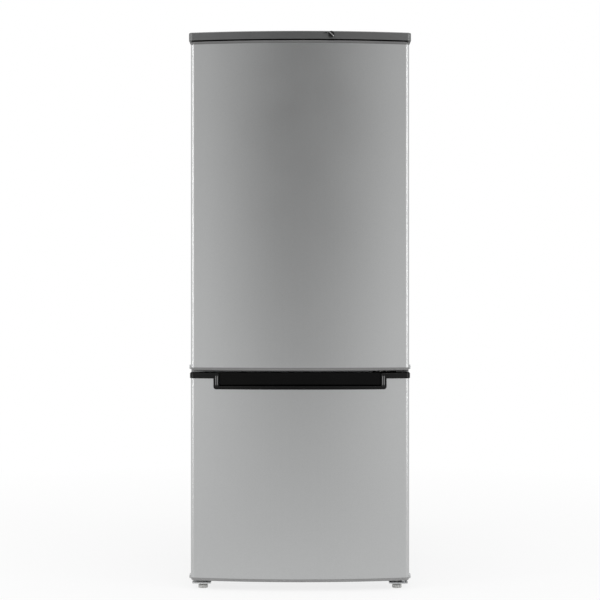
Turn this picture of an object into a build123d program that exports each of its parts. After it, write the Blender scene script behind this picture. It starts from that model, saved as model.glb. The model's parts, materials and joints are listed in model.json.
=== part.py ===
"""Two-door refrigerator, freezer below, both doors hinged on the right.

Millimetres. +Z is up, the doors face -Y and +X is to the right of someone facing them.
The origin is on the floor, under the middle of the object's box.
"""

from build123d import *
import math
import os

# Overall size: width across the top cover, height to its top, depth from the knob to the wall spacers
width = 580
height = 1450
depth = 620

# Clearances between pieces
running_fit = 0.05
slide_gap = 0.5
seal_gap = 0.3
knob_gap = 0.3
cover_gap = 2.6
cover_side_gap = 0.5
door_gap = 6
lift_gap = 4
overcut = 10

# Sheets and moulded walls
panel_sheet = 1.0
door_sheet = 0.8
bracket_sheet = 3
liner_wall = 2.0
tub_wall = 2.5

# Rounded edges of small pieces, and the share of a loop's pitch that its bend takes
edge_break = 0.8
small_round = 1.5
soft_round = 3
bend_share = 0.45

# Doors: bowed front, rounded upright edges, end caps
door_inset = 5
door_bow = 26
door_corner = 12
door_edge = 40
door_lift = 23
freezer_door_height = 541
cap_height = 8
cap_inset = 0.8
cap_round = 3.5
gasket_depth = 12
gasket_width = 20
gasket_margin = 17
gasket_neck = 4
gasket_corner = 14
plateau_depth = 8
plateau_margin = 8
plateau_corner = 18

# Upright ribs of the fridge door's liner, and the bins between them
dyke_width = 24
dyke_depth = 60
dyke_side_gap = 26
dyke_round = 6
dyke_end_margin = 32
dyke_top_margin = 50
bin_depth = 90
bin_corner = 10
bin_lug = 8
bin_lug_height = 6
bottle_bin_lift = 28
bottle_bin_height = 115
middle_bin_height = 78
middle_bin_count = 2
dairy_bin_height = 70
dairy_bin_drop = 74

# Flap over the dairy bin
flap_thickness = 3
flap_lip = 34
flap_corner = 2.5
flap_pin = 2.5
flap_rise = 8
flap_knuckle = 3.5
flap_set_off = 6

# Handle cap on the lower door: a band along the top edge and a framed finger pocket
handle_proud = 2.5
handle_band = 14.5
handle_width = 450
handle_drop = 28
handle_rim = 14
handle_rim_foot = 8.5
handle_corner = 7
handle_round = 2
rim_round = 2.4
mouth_corner = 4
pocket_depth = 42
pocket_trough = 22
pocket_lip = 6
pocket_corner = 5

# Hinges
hinge_inset = 15
pin_radius = 4
pin_reach = 12
pin_end_gap = 2
boss_radius = 9
boss_floor = 3
hinge_arm = 12
top_hinge_width = 36
top_hinge_length = 110
middle_hinge_width = 20
middle_hinge_span = 78
middle_hinge_height = 20
bottom_hinge_drop = 7
bottom_hinge_width = 42
bottom_hinge_tail = 42

# Screws
top_screw_set = 30
top_screw_pitch = 40
middle_screw_set = 10
middle_screw_pitch = 14
middle_screw_count = 3
bottom_screw_set = 25
bottom_screw_spread = 11
screw_radius = 2.2
screw_head_radius = 4.6
screw_head = 2.6

# Top cover and thermostat
cover_height = 21
cover_wall = 3
cover_lap = 2
cover_round = 2.5
cover_corner = 12
cover_floor = 1.7
cover_rib = 4
cover_rib_x = 150
cover_rib_margin = 30
knob_x = 81
knob_drop = 9
knob_radius = 8
knob_proud = 7
knob_bar_width = 4
knob_bar_height = 3
knob_pointer_deg = -45
shaft_radius = 3
shaft_reach = 8
thermostat_width = 34
thermostat_depth = 26
thermostat_height = 14
thermostat_gap = 2

# Cabinet
cover_overhang = 3
cabinet_floor = 35
flange = 26
back_return = 12
condenser_space = 28
divider = 62
rail_margin = 6
fridge_wall = 45
fridge_back_wall = 50
ceiling_wall = 50
freezer_wall = 57
freezer_back_wall = 60
freezer_floor_wall = 60
cavity_corner = 20
cavity_back_round = 12
bay_depth = 183
bay_height = 165
bay_wall = 50
step_round = 12

# Fridge interior
shelf_count = 3
shelf_glass = 4
shelf_front_set = 105
shelf_ledge = 10
shelf_ledge_height = 8
trim_depth = 14
trim_height = 18
trim_groove = 6
crisper_space = 172
crisper_back_gap = 35
crisper_set = 122
crisper_side = 14
crisper_middle = 6
crisper_runner = 6
crisper_runner_width = 12
crisper_runner_x = 40
tub_corner = 14
grip_reach = 12
grip_thickness = 3
grip_drop = 12
grip_margin = 35
lamp_width = 110
lamp_length = 90
lamp_drop = 26
lamp_set = 200
lamp_wall = 2
lamp_corner = 10
bulb_radius = 9
bulb_length = 40
switch_side_gap = 37
switch_width = 20
switch_length = 40
switch_height = 22
switch_set = 3
plunger_radius = 4
plunger_travel = 6
plunger_guide = 20
evaporator_side = 52
evaporator_head = 143
evaporator_sheet = 3
evaporator_floor = 200
evaporator_runs = 8
drain_radius = 8
drain_bore = 6
drain_height = 42
drain_bend = 12
drain_set = 18
drain_drop = 14

# Freezer interior
frost_tube = 4
tube_sink = 0.4
frost_runs = 10
frost_front_set = 35
frost_back_gap = 22
frost_side_gap = 10
frost_ledge = 16
frost_ledge_height = 8
drawer_side = 18
drawer_set = 20
drawer_back_gap = 10
drawer_head = 6

# Machine bay
tray_sheet = 2
compressor_x = 60
compressor_half_length = 78
compressor_half_width = 60
compressor_height = 112
compressor_dome = 36
compressor_belly = 20
seam_proud = 3
seam_height = 4
mount_plate = 2.5
mount_length = 196
mount_width = 104
grommet_radius = 11
grommet_height = 12
grommet_inset = 13
stud_radius = 4
stub_radius = 5
stub_length = 72
stub_lift = 48
stub_spread = 40
pipe_radius = 3
pipe_bend = 12
suction_bend = 10
relay_width = 34
relay_depth = 62
relay_height = 70
relay_lift = 22
cord_entry_radius = 6
cord_entry_length = 8
cord_entry_lift = 18
drip_wall = 1.5
drip_width = 150
drip_length = 128
drip_height = 28
drip_corner = 16
drip_offset = 8
drier_radius = 8
drier_length = 70
drier_neck = 10
capillary_radius = 1.2
capillary_bend = 8
capillary_run = 50
capillary_drop = 20
capillary_set = 40

# Condenser on the back
condenser_tube = 2.5
condenser_wire = 0.8
condenser_set = 19
condenser_side = 67
condenser_floor = 380
condenser_runs = 19
condenser_head = 151
riser_side = 42
tail_inset = 20
wire_margin = 10
wires_each_side = 15
wire_end = 12
wire_gap = 0.02
clip_inset = 55
clip_width = 14
clip_height = 24

# Feet and rollers
foot_inset = 16
foot_set = 27
foot_radius = 12.5
foot_height = 8
foot_notches = 12
foot_notch_radius = 1.5
foot_stud_top = 20
roller_radius = 16
roller_width = 14
roller_inset = 52
roller_set = 36
axle_radius = 4
axle_end = 3
ear_gap = 1
ear_round = 9

# Planes and lines that the pieces share
front = -depth / 2
back = depth / 2
door_front = front + knob_proud
door_back = door_front + door_bow + door_edge
cabinet_front = door_back + gasket_depth + seal_gap
cabinet_back = back - condenser_space
cover_half = width / 2
cabinet_half = cover_half - cover_overhang
door_half = cover_half - door_inset
inner_half = cabinet_half - panel_sheet
cover_bottom = height - cover_height
cabinet_top = cover_bottom + cover_lap
freezer_door_bottom = door_lift
freezer_door_top = door_lift + freezer_door_height
fridge_door_bottom = freezer_door_top + door_gap
fridge_door_top = cover_bottom - cover_gap
door_split = freezer_door_top + door_gap / 2
flange_half = cabinet_half - flange
rail_bottom = door_split - divider / 2 + rail_margin
rail_top = door_split + divider / 2 - rail_margin
gasket_half = door_half - gasket_margin
plateau_half = gasket_half - gasket_width - plateau_margin
plateau_face = door_back + plateau_depth
hinge_x = door_half - hinge_inset
hinge_y = door_back - door_edge / 2

fridge_half = cabinet_half - fridge_wall
fridge_floor = door_split + divider / 2
fridge_ceiling = cabinet_top - ceiling_wall
fridge_back = cabinet_back - fridge_back_wall
freezer_half = cabinet_half - freezer_wall
freezer_floor = cabinet_floor + freezer_floor_wall
freezer_ceiling = door_split - divider / 2
freezer_back = cabinet_back - freezer_back_wall
bay_front = cabinet_back - bay_depth
bay_top = cabinet_floor + bay_height
step_front = bay_front - bay_wall
step_top = bay_top + bay_wall

lid_height = fridge_floor + crisper_space
shelf_pitch = (fridge_ceiling - lid_height) / (shelf_count + 1)
shelf_heights = [lid_height + i * shelf_pitch for i in range(shelf_count + 1)]
crisper_front = cabinet_front + crisper_set
crisper_back = fridge_back - crisper_back_gap
evaporator_base = fridge_floor + evaporator_floor
evaporator_width = 2 * (fridge_half - evaporator_side)
evaporator_height = fridge_ceiling - evaporator_head - evaporator_base
switch_x = fridge_half - switch_side_gap
shelf_front = cabinet_front + shelf_front_set
shelf_back = fridge_back - cavity_back_round
frost_low = step_top + frost_tube
frost_high = (frost_low + freezer_ceiling) / 2
condenser_y = cabinet_back + condenser_set
condenser_half = cabinet_half - condenser_side
condenser_riser = cabinet_half - riser_side
condenser_tail_x = tail_inset - condenser_half
condenser_top = cabinet_top - condenser_head
condenser_pitch = (condenser_top - condenser_floor) / (condenser_runs - 1)
wire_pitch = 2 * (condenser_half - wire_margin) / (wires_each_side - 1)
clip_x = condenser_half - clip_inset
capillary_x = condenser_tail_x + capillary_run
discharge_x = compressor_x + stub_spread
suction_x = compressor_x - stub_spread
drain_x = compressor_x
bay_middle = (bay_front + cabinet_back) / 2
tray_top = cabinet_floor + tray_sheet
compressor_floor = tray_top + grommet_height + mount_plate
compressor_top = compressor_floor + compressor_height
foot_x = hinge_x - foot_inset
foot_y = hinge_y - door_edge / 2 + foot_set
bracket_top = door_lift - bottom_hinge_drop
bracket_bottom = bracket_top - bracket_sheet
roller_x = cabinet_half - roller_inset
roller_y = cabinet_back - roller_set
knob_z = height - knob_drop
bow_radius = (door_half**2 + door_bow**2) / (2 * door_bow)
bow_centre = door_front + bow_radius
pocket_back = door_front + pocket_depth
flap_pivot_y = plateau_face + flap_set_off
dyke_inner = fridge_half - dyke_side_gap - dyke_width
dyke_face = door_back + dyke_depth
bin_floor = plateau_face + slide_gap
bins_base = fridge_door_bottom + cap_height + dyke_end_margin
dyke_top = cabinet_top - gasket_margin - gasket_width - dyke_top_margin
bottle_floor = bins_base + bottle_bin_lift
dairy_floor = dyke_top - dairy_bin_drop - dairy_bin_height
flap_pivot_z = dairy_floor + dairy_bin_height + flap_rise
flap_end = bin_floor + bin_depth + slide_gap


def block(x0, x1, y0, y1, z0, z1):
    """Box between two corners."""
    middle = Pos((x0 + x1) / 2, (y0 + y1) / 2, (z0 + z1) / 2)
    return middle * Box(x1 - x0, y1 - y0, z1 - z0)


def slab(x0, x1, y0, y1, z0, z1, corner):
    """Box whose four upright edges are rounded."""
    face = Pos((x0 + x1) / 2, (y0 + y1) / 2, z0) * RectangleRounded(x1 - x0, y1 - y0, corner)
    return extrude(face, z1 - z0)


def pad(x0, x1, y0, y1, z0, z1, corner):
    """Box whose four edges along Y are rounded."""
    face = Plane.XZ * Pos((x0 + x1) / 2, (z0 + z1) / 2) * RectangleRounded(x1 - x0, z1 - z0, corner)
    return Pos(0, y1, 0) * extrude(face, y1 - y0)


def rod(radius, start, end):
    """Round bar between two points."""
    run = Vector(*end) - Vector(*start)
    return extrude(Plane(Vector(*start), z_dir=run) * Circle(radius), run.length)


def pipe(points, radius, bend):
    """Round bar along straight runs with rounded corners."""
    path = FilletPolyline(*points, radius=bend)
    return sweep(Plane(path @ 0, z_dir=path % 0) * Circle(radius), path=path)


def front_y(x, inset=0):
    """Y of the bowed front at a given X, some way behind the doors' skin."""
    return bow_centre - math.sqrt((bow_radius - inset) ** 2 - x**2)


def bowed(half, inset, rear, corner, z0, z1):
    """Upright prism with a bowed front, rounded front corners, straight sides and a flat back."""
    side = front_y(half, inset)
    bow = ThreePointArc((-half, side), (0, front_y(0, inset)), (half, side))
    rest = Polyline((half, side), (half, rear), (-half, rear), (-half, side))
    face = make_face(bow + rest)
    face = fillet(face.vertices().sort_by(Axis.Y)[0:2], corner)
    return Pos(0, 0, z0) * extrude(face, z1 - z0)


def tub(x0, x1, y0, y1, z0, z1, corner):
    """Open moulded box with rounded upright corners and a rounded floor edge."""
    outer = slab(x0, x1, y0, y1, z0, z1, corner)
    outer = fillet(outer.edges().group_by(Axis.Z)[0], corner / 2)
    inside = slab(
        x0 + tub_wall,
        x1 - tub_wall,
        y0 + tub_wall,
        y1 - tub_wall,
        z0 + tub_wall,
        z1 + overcut,
        corner - tub_wall,
    )
    return outer - inside


def grip(x0, x1, y0, z1):
    """Finger grip along a tub's front rim: a ledge with a turned-down edge."""
    ledge = block(x0 + grip_margin, x1 - grip_margin, y0 - grip_reach, y0, z1 - grip_thickness, z1)
    edge = block(
        x0 + grip_margin,
        x1 - grip_margin,
        y0 - grip_reach,
        y0 - grip_reach + grip_thickness,
        z1 - grip_drop,
        z1,
    )
    return ledge + edge


def screws_down(places, z):
    """Pan-head screws through a plate whose upper face is at z, standing on the sheet below it."""
    made = []
    for x, y in places:
        made.append(rod(screw_radius, (x, y, z - bracket_sheet), (x, y, z + screw_head)))
        made[-1] += fillet(
            rod(screw_head_radius, (x, y, z), (x, y, z + screw_head)).edges().group_by(Axis.Z)[-1],
            screw_head / 2,
        )
    return made


# Screw places, shared by the brackets' holes and the screws
top_screws = [
    (hinge_x - top_hinge_width / 2, cabinet_front + top_screw_set),
    (hinge_x - top_hinge_width / 2, cabinet_front + top_screw_set + top_screw_pitch),
]
first_screw = hinge_x - middle_hinge_span + middle_screw_set
middle_screws = [first_screw + i * middle_screw_pitch for i in range(middle_screw_count)]
bracket_left = foot_x - bottom_hinge_width / 2
bracket_right = hinge_x + hinge_arm
bracket_middle = (bracket_left + bracket_right) / 2
bottom_screws = [
    (bracket_middle + side * bottom_screw_spread, cabinet_front + bottom_screw_set) for side in (-1, 1)
]


# Cabinet shell


def side_panel(side):
    """Steel side with a flange turned in at the front and a narrow one at the back."""
    rear = cabinet_back - panel_sheet
    wall = block(inner_half, cabinet_half, cabinet_front, rear, cabinet_floor, cabinet_top)
    face = block(
        flange_half,
        cabinet_half,
        cabinet_front,
        cabinet_front + panel_sheet,
        cabinet_floor,
        cabinet_top,
    )
    turn = block(
        cabinet_half - back_return,
        cabinet_half,
        rear - panel_sheet,
        rear,
        cabinet_floor,
        cabinet_top,
    )
    panel = wall + face + turn
    return panel if side > 0 else mirror(panel, Plane.YZ)


def top_panel():
    """Steel top with a flange turned down at the front."""
    rear = cabinet_back - 2 * panel_sheet
    plate = block(
        -inner_half,
        inner_half,
        cabinet_front + panel_sheet,
        rear,
        cabinet_top - panel_sheet,
        cabinet_top,
    )
    lip = block(
        -flange_half,
        flange_half,
        cabinet_front,
        cabinet_front + panel_sheet,
        cabinet_top - flange,
        cabinet_top,
    )
    return plate + lip


def back_panel():
    """Steel back above the machine bay."""
    return block(
        -cabinet_half,
        cabinet_half,
        cabinet_back - panel_sheet,
        cabinet_back,
        bay_top,
        cabinet_top,
    )


def base_plate():
    """Bent steel floor: front flange, floor, wall and ceiling of the machine bay."""
    rear = cabinet_back - 2 * panel_sheet
    floor = block(
        -inner_half,
        inner_half,
        cabinet_front + panel_sheet,
        bay_front,
        cabinet_floor,
        cabinet_floor + panel_sheet,
    )
    lip = block(
        -flange_half,
        flange_half,
        cabinet_front,
        cabinet_front + panel_sheet,
        cabinet_floor,
        cabinet_floor + flange,
    )
    wall = block(
        -inner_half,
        inner_half,
        bay_front - panel_sheet,
        bay_front,
        cabinet_floor,
        bay_top + panel_sheet,
    )
    ceiling = block(-inner_half, inner_half, bay_front - panel_sheet, rear, bay_top, bay_top + panel_sheet)
    return floor + lip + wall + ceiling - drain_path(drain_radius)


def centre_rail():
    """Steel strip across the front between the two compartments."""
    return block(
        -flange_half,
        flange_half,
        cabinet_front,
        cabinet_front + panel_sheet,
        rail_bottom,
        rail_top,
    )


def fridge_space(grow):
    """The fridge compartment's space, or its liner's outside when grown by the wall."""
    start = cabinet_front if grow else cabinet_front - overcut
    space = pad(
        -fridge_half - grow,
        fridge_half + grow,
        start,
        fridge_back + grow,
        fridge_floor - grow,
        fridge_ceiling + grow,
        cavity_corner + grow,
    )
    return fillet(space.edges().group_by(Axis.Y)[-1], cavity_back_round + grow)


def freezer_space(grow):
    """The freezer compartment's space, stepped over the machine bay, or its liner's outside."""
    start = cabinet_front if grow else cabinet_front - overcut
    space = pad(
        -freezer_half - grow,
        freezer_half + grow,
        start,
        freezer_back + grow,
        freezer_floor - grow,
        freezer_ceiling + grow,
        cavity_corner + grow,
    )
    step = block(
        -cabinet_half,
        cabinet_half,
        step_front + grow,
        freezer_back + grow + overcut,
        freezer_floor - grow - overcut,
        step_top - grow,
    )
    nose = step.edges().filter_by(Axis.X).sort_by(Axis.Y)[0:2].sort_by(Axis.Z)[-1]
    return space - fillet(nose, step_round)


def fridge_flange():
    """The fridge liner's flat border, between the steel flanges."""
    return block(
        -flange_half, flange_half, cabinet_front, cabinet_front + liner_wall, rail_top, cabinet_top - flange
    )


def freezer_flange():
    """The freezer liner's flat border."""
    return block(
        -flange_half,
        flange_half,
        cabinet_front,
        cabinet_front + liner_wall,
        cabinet_floor + flange,
        rail_bottom,
    )


def drain_path(radius):
    """Run of the drain, out of the fridge liner's back wall and down to the drip tray."""
    y = fridge_back + liner_wall + drain_set
    z = fridge_floor + drain_height
    points = [(drain_x, fridge_back + liner_wall, z), (drain_x, y, z), (drain_x, y, bay_top - drain_drop)]
    return pipe(points, radius, drain_bend)


def fridge_liner():
    """White inner box of the fridge with shelf ledges, crisper runners and a drain hole."""
    shell = fridge_space(liner_wall) + fridge_flange() - fridge_space(0)
    for z in shelf_heights:
        for side in (-1, 1):
            x0, x1 = sorted((side * fridge_half, side * (fridge_half - shelf_ledge)))
            shell += block(x0, x1, shelf_front + trim_depth, shelf_back, z - shelf_ledge_height, z)
    runner_end = fridge_back - cavity_back_round
    for side in (-1, 1):
        for x in (side * crisper_runner_x, side * (fridge_half - crisper_runner_x)):
            shell += block(
                x - crisper_runner_width / 2,
                x + crisper_runner_width / 2,
                crisper_front,
                runner_end,
                fridge_floor - liner_wall / 2,
                fridge_floor + crisper_runner,
            )
    hole_z = fridge_floor + drain_height
    hole = rod(
        drain_bore,
        (drain_x, fridge_back - overcut, hole_z),
        (drain_x, fridge_back + overcut, hole_z),
    )
    return shell - hole


def freezer_liner():
    """White inner box of the freezer with the ledges that carry the evaporator shelves."""
    shell = freezer_space(liner_wall) + freezer_flange() - freezer_space(0)
    ledge_front = cabinet_front + frost_front_set
    for z, rear in ((frost_low, step_front), (frost_high, freezer_back - cavity_back_round)):
        top = z - frost_tube
        for side in (-1, 1):
            x0, x1 = sorted((side * freezer_half, side * (freezer_half - frost_ledge)))
            shell += block(x0, x1, ledge_front, rear, top - frost_ledge_height, top)
    return shell


def cabinet_foam():
    """Insulation between the steel shell and the two liners."""
    rear = cabinet_back - 2 * panel_sheet
    foam = block(
        -inner_half,
        inner_half,
        cabinet_front + panel_sheet,
        rear,
        cabinet_floor + panel_sheet,
        cabinet_top - panel_sheet,
    )
    bay = block(
        -cabinet_half,
        cabinet_half,
        bay_front - panel_sheet,
        cabinet_back + overcut,
        cabinet_floor - overcut,
        bay_top + panel_sheet,
    )
    turns = block(
        cabinet_half - back_return,
        cabinet_half,
        rear - panel_sheet,
        rear,
        cabinet_floor,
        cabinet_top,
    )
    foam = foam - bay - turns - mirror(turns, Plane.YZ)
    foam = foam - fridge_space(liner_wall) - fridge_flange() - freezer_space(liner_wall) - freezer_flange()
    return foam - evaporator_pocket() - drain_path(drain_radius)


def evaporator_pocket():
    """Space of the fridge evaporator behind the liner's back wall."""
    deep = evaporator_sheet + 2 * frost_tube
    z0 = evaporator_base
    y0 = fridge_back + liner_wall
    return block(-evaporator_width / 2, evaporator_width / 2, y0, y0 + deep, z0, z0 + evaporator_height)


def fridge_evaporator():
    """Cooling plate on the fridge liner's back wall, with its tube pressed on behind it."""
    y0 = fridge_back + liner_wall
    z0 = evaporator_base
    half = evaporator_width / 2
    plate = block(-half, half, y0, y0 + evaporator_sheet, z0, z0 + evaporator_height)
    pitch = evaporator_height / evaporator_runs
    reach = half - pitch / 2
    y = y0 + evaporator_sheet + frost_tube - tube_sink
    points = []
    for i in range(evaporator_runs):
        z = z0 + pitch * (i + 0.5)
        ends = (-reach, reach) if i % 2 == 0 else (reach, -reach)
        points += [(x, y, z) for x in ends]
    return plate + pipe(points, frost_tube, pitch * bend_share)


def drain_tube():
    """Plastic tube that leads defrost water to the drip tray."""
    y = fridge_back + liner_wall + drain_set
    end = bay_top - drain_drop
    bore = drain_path(drain_bore)
    mouth = rod(drain_bore, (drain_x, y, end - overcut), (drain_x, y, end + overcut))
    return drain_path(drain_radius) - bore - mouth


# Top cover and thermostat


def top_cover():
    """Moulded cover over the cabinet's top, whose fascia stands flush with the doors."""
    outer = bowed(cover_half, 0, cabinet_back, cover_corner, cover_bottom, height)
    outer = fillet(outer.edges().group_by(Axis.Z)[-1], cover_round)
    outer = fillet(outer.edges().group_by(Axis.Z)[0], small_round)
    inside = bowed(
        cabinet_half + cover_side_gap,
        cover_wall,
        cabinet_back - cover_wall,
        cover_corner - cover_wall,
        cover_bottom - overcut,
        height - cover_wall,
    )
    floor = bowed(
        cabinet_half + cover_side_gap,
        cover_wall,
        cabinet_front - slide_gap,
        cover_corner - cover_wall,
        cover_bottom,
        cover_bottom + cover_floor,
    )
    cover = outer - inside + floor
    for side in (-1, 1):
        x = side * cover_rib_x
        cover += block(
            x - cover_rib / 2,
            x + cover_rib / 2,
            cabinet_front + cover_rib_margin,
            cabinet_back - cover_rib_margin,
            cabinet_top,
            height - cover_wall / 2,
        )
    rear_cut = block(
        -cabinet_half - cover_side_gap,
        cabinet_half + cover_side_gap,
        cabinet_back - cover_wall - overcut,
        cabinet_back + overcut,
        cover_bottom - overcut,
        cabinet_top,
    )
    shaft_hole = rod(
        shaft_radius + knob_gap,
        (knob_x, front, knob_z),
        (knob_x, front_y(knob_x, cover_wall) + overcut / 2, knob_z),
    )
    pin_hole = rod(
        pin_radius + cover_gap, (hinge_x, hinge_y, cover_bottom - overcut), (hinge_x, hinge_y, cabinet_top)
    )
    return cover - rear_cut - shaft_hole - pin_hole


def thermostat_body():
    """Thermostat behind the fascia, on the cover's floor, bored for the knob's shaft."""
    y0 = front_y(knob_x - thermostat_width / 2, cover_wall) + thermostat_gap
    z0 = cover_bottom + cover_floor
    case = block(
        knob_x - thermostat_width / 2,
        knob_x + thermostat_width / 2,
        y0,
        y0 + thermostat_depth,
        z0,
        z0 + thermostat_height,
    )
    case = fillet(case.edges().filter_by(Axis.Y), thermostat_gap)
    bore = rod(
        shaft_radius + running_fit,
        (knob_x, y0 - overcut, knob_z),
        (knob_x, y0 + shaft_reach, knob_z),
    )
    return case - bore


def thermostat_knob():
    """Round black knob with a diagonal finger bar, on its shaft."""
    seat = front_y(knob_x - knob_radius) - knob_gap
    rim = front + knob_bar_height
    disc = rod(knob_radius, (knob_x, rim, knob_z), (knob_x, seat, knob_z))
    disc = fillet(disc.edges().group_by(Axis.Y)[0], edge_break)
    reach = knob_radius - edge_break
    bar = block(-knob_bar_width / 2, knob_bar_width / 2, front, rim + edge_break, -reach, reach)
    bar = fillet(bar.edges().group_by(Axis.Y)[0], edge_break)
    bar = Pos(knob_x, 0, knob_z) * Rot(0, knob_pointer_deg, 0) * bar
    inner = front_y(knob_x - thermostat_width / 2, cover_wall) + thermostat_gap + shaft_reach - slide_gap
    shaft = rod(shaft_radius, (knob_x, seat, knob_z), (knob_x, inner, knob_z))
    return disc + bar + shaft


# Hinges, brackets and their screws


def pin(z0, z1):
    """Hinge pin on the doors' common axis, with its upper end rounded."""
    return rod(pin_radius, (hinge_x, hinge_y, z0), (hinge_x, hinge_y, z1))


def top_hinge():
    """Plate screwed on the cabinet's top, with a pin down into the upper door."""
    plate = slab(
        hinge_x - top_hinge_width,
        hinge_x + hinge_arm,
        hinge_y - hinge_arm,
        hinge_y - hinge_arm + top_hinge_length,
        cabinet_top,
        cabinet_top + bracket_sheet,
        hinge_arm / 2,
    )
    hinge = plate + pin(fridge_door_top - pin_reach, cabinet_top + bracket_sheet)
    for x, y in top_screws:
        hinge -= rod(screw_radius, (x, y, cabinet_top - overcut), (x, y, cabinet_top + overcut))
    return hinge


def middle_hinge():
    """Bracket on the centre rail, with a tongue between the doors and a pin into each."""
    low, high = door_split - bracket_sheet / 2, door_split + bracket_sheet / 2
    tongue = slab(
        hinge_x - middle_hinge_width,
        hinge_x + hinge_arm,
        hinge_y - hinge_arm,
        cabinet_front,
        low,
        high,
        hinge_arm / 2,
    )
    tongue += block(
        hinge_x - middle_hinge_width, hinge_x + hinge_arm, hinge_y, cabinet_front, low, high
    )
    leg = block(
        hinge_x - middle_hinge_span,
        hinge_x + hinge_arm,
        cabinet_front - bracket_sheet,
        cabinet_front,
        door_split - middle_hinge_height / 2,
        door_split + middle_hinge_height / 2,
    )
    hinge = tongue + leg + pin(freezer_door_top - pin_reach, fridge_door_bottom + pin_reach)
    for x in middle_screws:
        hinge -= rod(
            screw_radius,
            (x, cabinet_front - overcut, door_split),
            (x, cabinet_front + overcut, door_split),
        )
    return hinge


def floor_bracket():
    """Right-hand bracket under the cabinet that holds a foot in front, under the door."""
    x0, x1 = bracket_left, bracket_right
    y0 = hinge_y - hinge_arm
    riser = cabinet_front + bracket_sheet
    shelf = slab(x0, x1, y0, riser + bracket_sheet, bracket_bottom, bracket_top, hinge_arm / 2)
    shelf += block(x0, x1, foot_y, riser + bracket_sheet, bracket_bottom, bracket_top)
    wall = block(x0, x1, riser, riser + bracket_sheet, bracket_bottom, cabinet_floor)
    seat = block(x0, x1, riser, riser + bottom_hinge_tail, cabinet_floor - bracket_sheet, cabinet_floor)
    bracket = shelf + wall + seat
    bracket -= rod(
        stud_radius + running_fit,
        (foot_x, foot_y, bracket_bottom - overcut),
        (foot_x, foot_y, bracket_top + overcut),
    )
    for x, y in bottom_screws:
        bracket -= rod(screw_radius, (x, y, cabinet_floor - overcut), (x, y, cabinet_floor + overcut))
    return bracket


def bottom_hinge():
    """Floor bracket with the pin that carries the lower door."""
    return floor_bracket() + pin(bracket_bottom, freezer_door_bottom + pin_reach)


def hinge_screws():
    """All the pan-head screws of the hinges and brackets."""
    made = screws_down(top_screws, cabinet_top + bracket_sheet)
    for x in middle_screws:
        y = cabinet_front - bracket_sheet
        shank = rod(screw_radius, (x, y - screw_head, door_split), (x, cabinet_front, door_split))
        head = rod(screw_head_radius, (x, y - screw_head, door_split), (x, y, door_split))
        made.append(shank + fillet(head.edges().group_by(Axis.Y)[0], screw_head / 2))
    for side in (-1, 1):
        for x, y in bottom_screws:
            z = cabinet_floor - bracket_sheet
            shank = rod(screw_radius, (side * x, y, z - screw_head), (side * x, y, cabinet_floor))
            head = rod(screw_head_radius, (side * x, y, z - screw_head), (side * x, y, z))
            made.append(shank + fillet(head.edges().group_by(Axis.Z)[0], screw_head / 2))
    return Compound(children=made)


# Feet and rollers


def foot(side):
    """Levelling foot: a notched disc on a threaded stud."""
    disc = rod(foot_radius, (0, 0, 0), (0, 0, foot_height))
    disc = fillet(disc.edges().group_by(Axis.Z)[0], small_round)
    for i in range(foot_notches):
        angle = 2 * math.pi * i / foot_notches
        x, y = foot_radius * math.cos(angle), foot_radius * math.sin(angle)
        disc -= rod(foot_notch_radius, (x, y, -overcut), (x, y, foot_height + overcut))
    stud = rod(stud_radius, (0, 0, foot_height), (0, 0, foot_stud_top))
    return Pos(side * foot_x, foot_y, 0) * (disc + chamfer(stud.edges().group_by(Axis.Z)[-1], edge_break))


def roller(side):
    """Rear roller, bored for its axle."""
    x0, x1 = side * roller_x - roller_width / 2, side * roller_x + roller_width / 2
    wheel = rod(roller_radius, (x0, roller_y, roller_radius), (x1, roller_y, roller_radius))
    wheel = fillet(wheel.edges(), small_round)
    return wheel - rod(
        axle_radius + running_fit,
        (x0 - overcut, roller_y, roller_radius),
        (x1 + overcut, roller_y, roller_radius),
    )


def axle_span(side):
    """Ends in X of one roller's axle."""
    reach = roller_width / 2 + ear_gap + tray_sheet + axle_end
    return side * roller_x - reach, side * roller_x + reach


def roller_axles():
    """The two rollers' axle pins."""
    made = []
    for side in (-1, 1):
        x0, x1 = axle_span(side)
        axle = rod(axle_radius, (x0, roller_y, roller_radius), (x1, roller_y, roller_radius))
        made.append(chamfer(axle.edges().filter_by(GeomType.CIRCLE), edge_break))
    return Compound(children=made)


def compressor_tray():
    """Steel cross member under the machine bay, with the ears that hold the rollers."""
    tray = block(
        -inner_half,
        inner_half,
        bay_front,
        cabinet_back - 2 * panel_sheet,
        cabinet_floor,
        tray_top,
    )
    for side in (-1, 1):
        for edge in (-1, 1):
            inner = side * roller_x + edge * (roller_width / 2 + ear_gap)
            x0, x1 = sorted((inner, inner + edge * tray_sheet))
            ear = block(x0, x1, roller_y - ear_round, roller_y + ear_round, roller_radius, cabinet_floor)
            ear += rod(ear_round, (x0, roller_y, roller_radius), (x1, roller_y, roller_radius))
            tray += ear
        x0, x1 = axle_span(side)
        tray -= rod(axle_radius, (x0, roller_y, roller_radius), (x1, roller_y, roller_radius))
    for x, y in grommet_places():
        tray -= rod(stud_radius, (x, y, cabinet_floor - overcut), (x, y, tray_top + overcut))
    return tray


# Machine bay


def grommet_places():
    """Centres of the compressor's four rubber feet."""
    dx, dy = mount_length / 2 - grommet_inset, mount_width / 2 - grommet_inset
    return [(compressor_x + i * dx, bay_middle + j * dy) for i in (-1, 1) for j in (-1, 1)]


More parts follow.
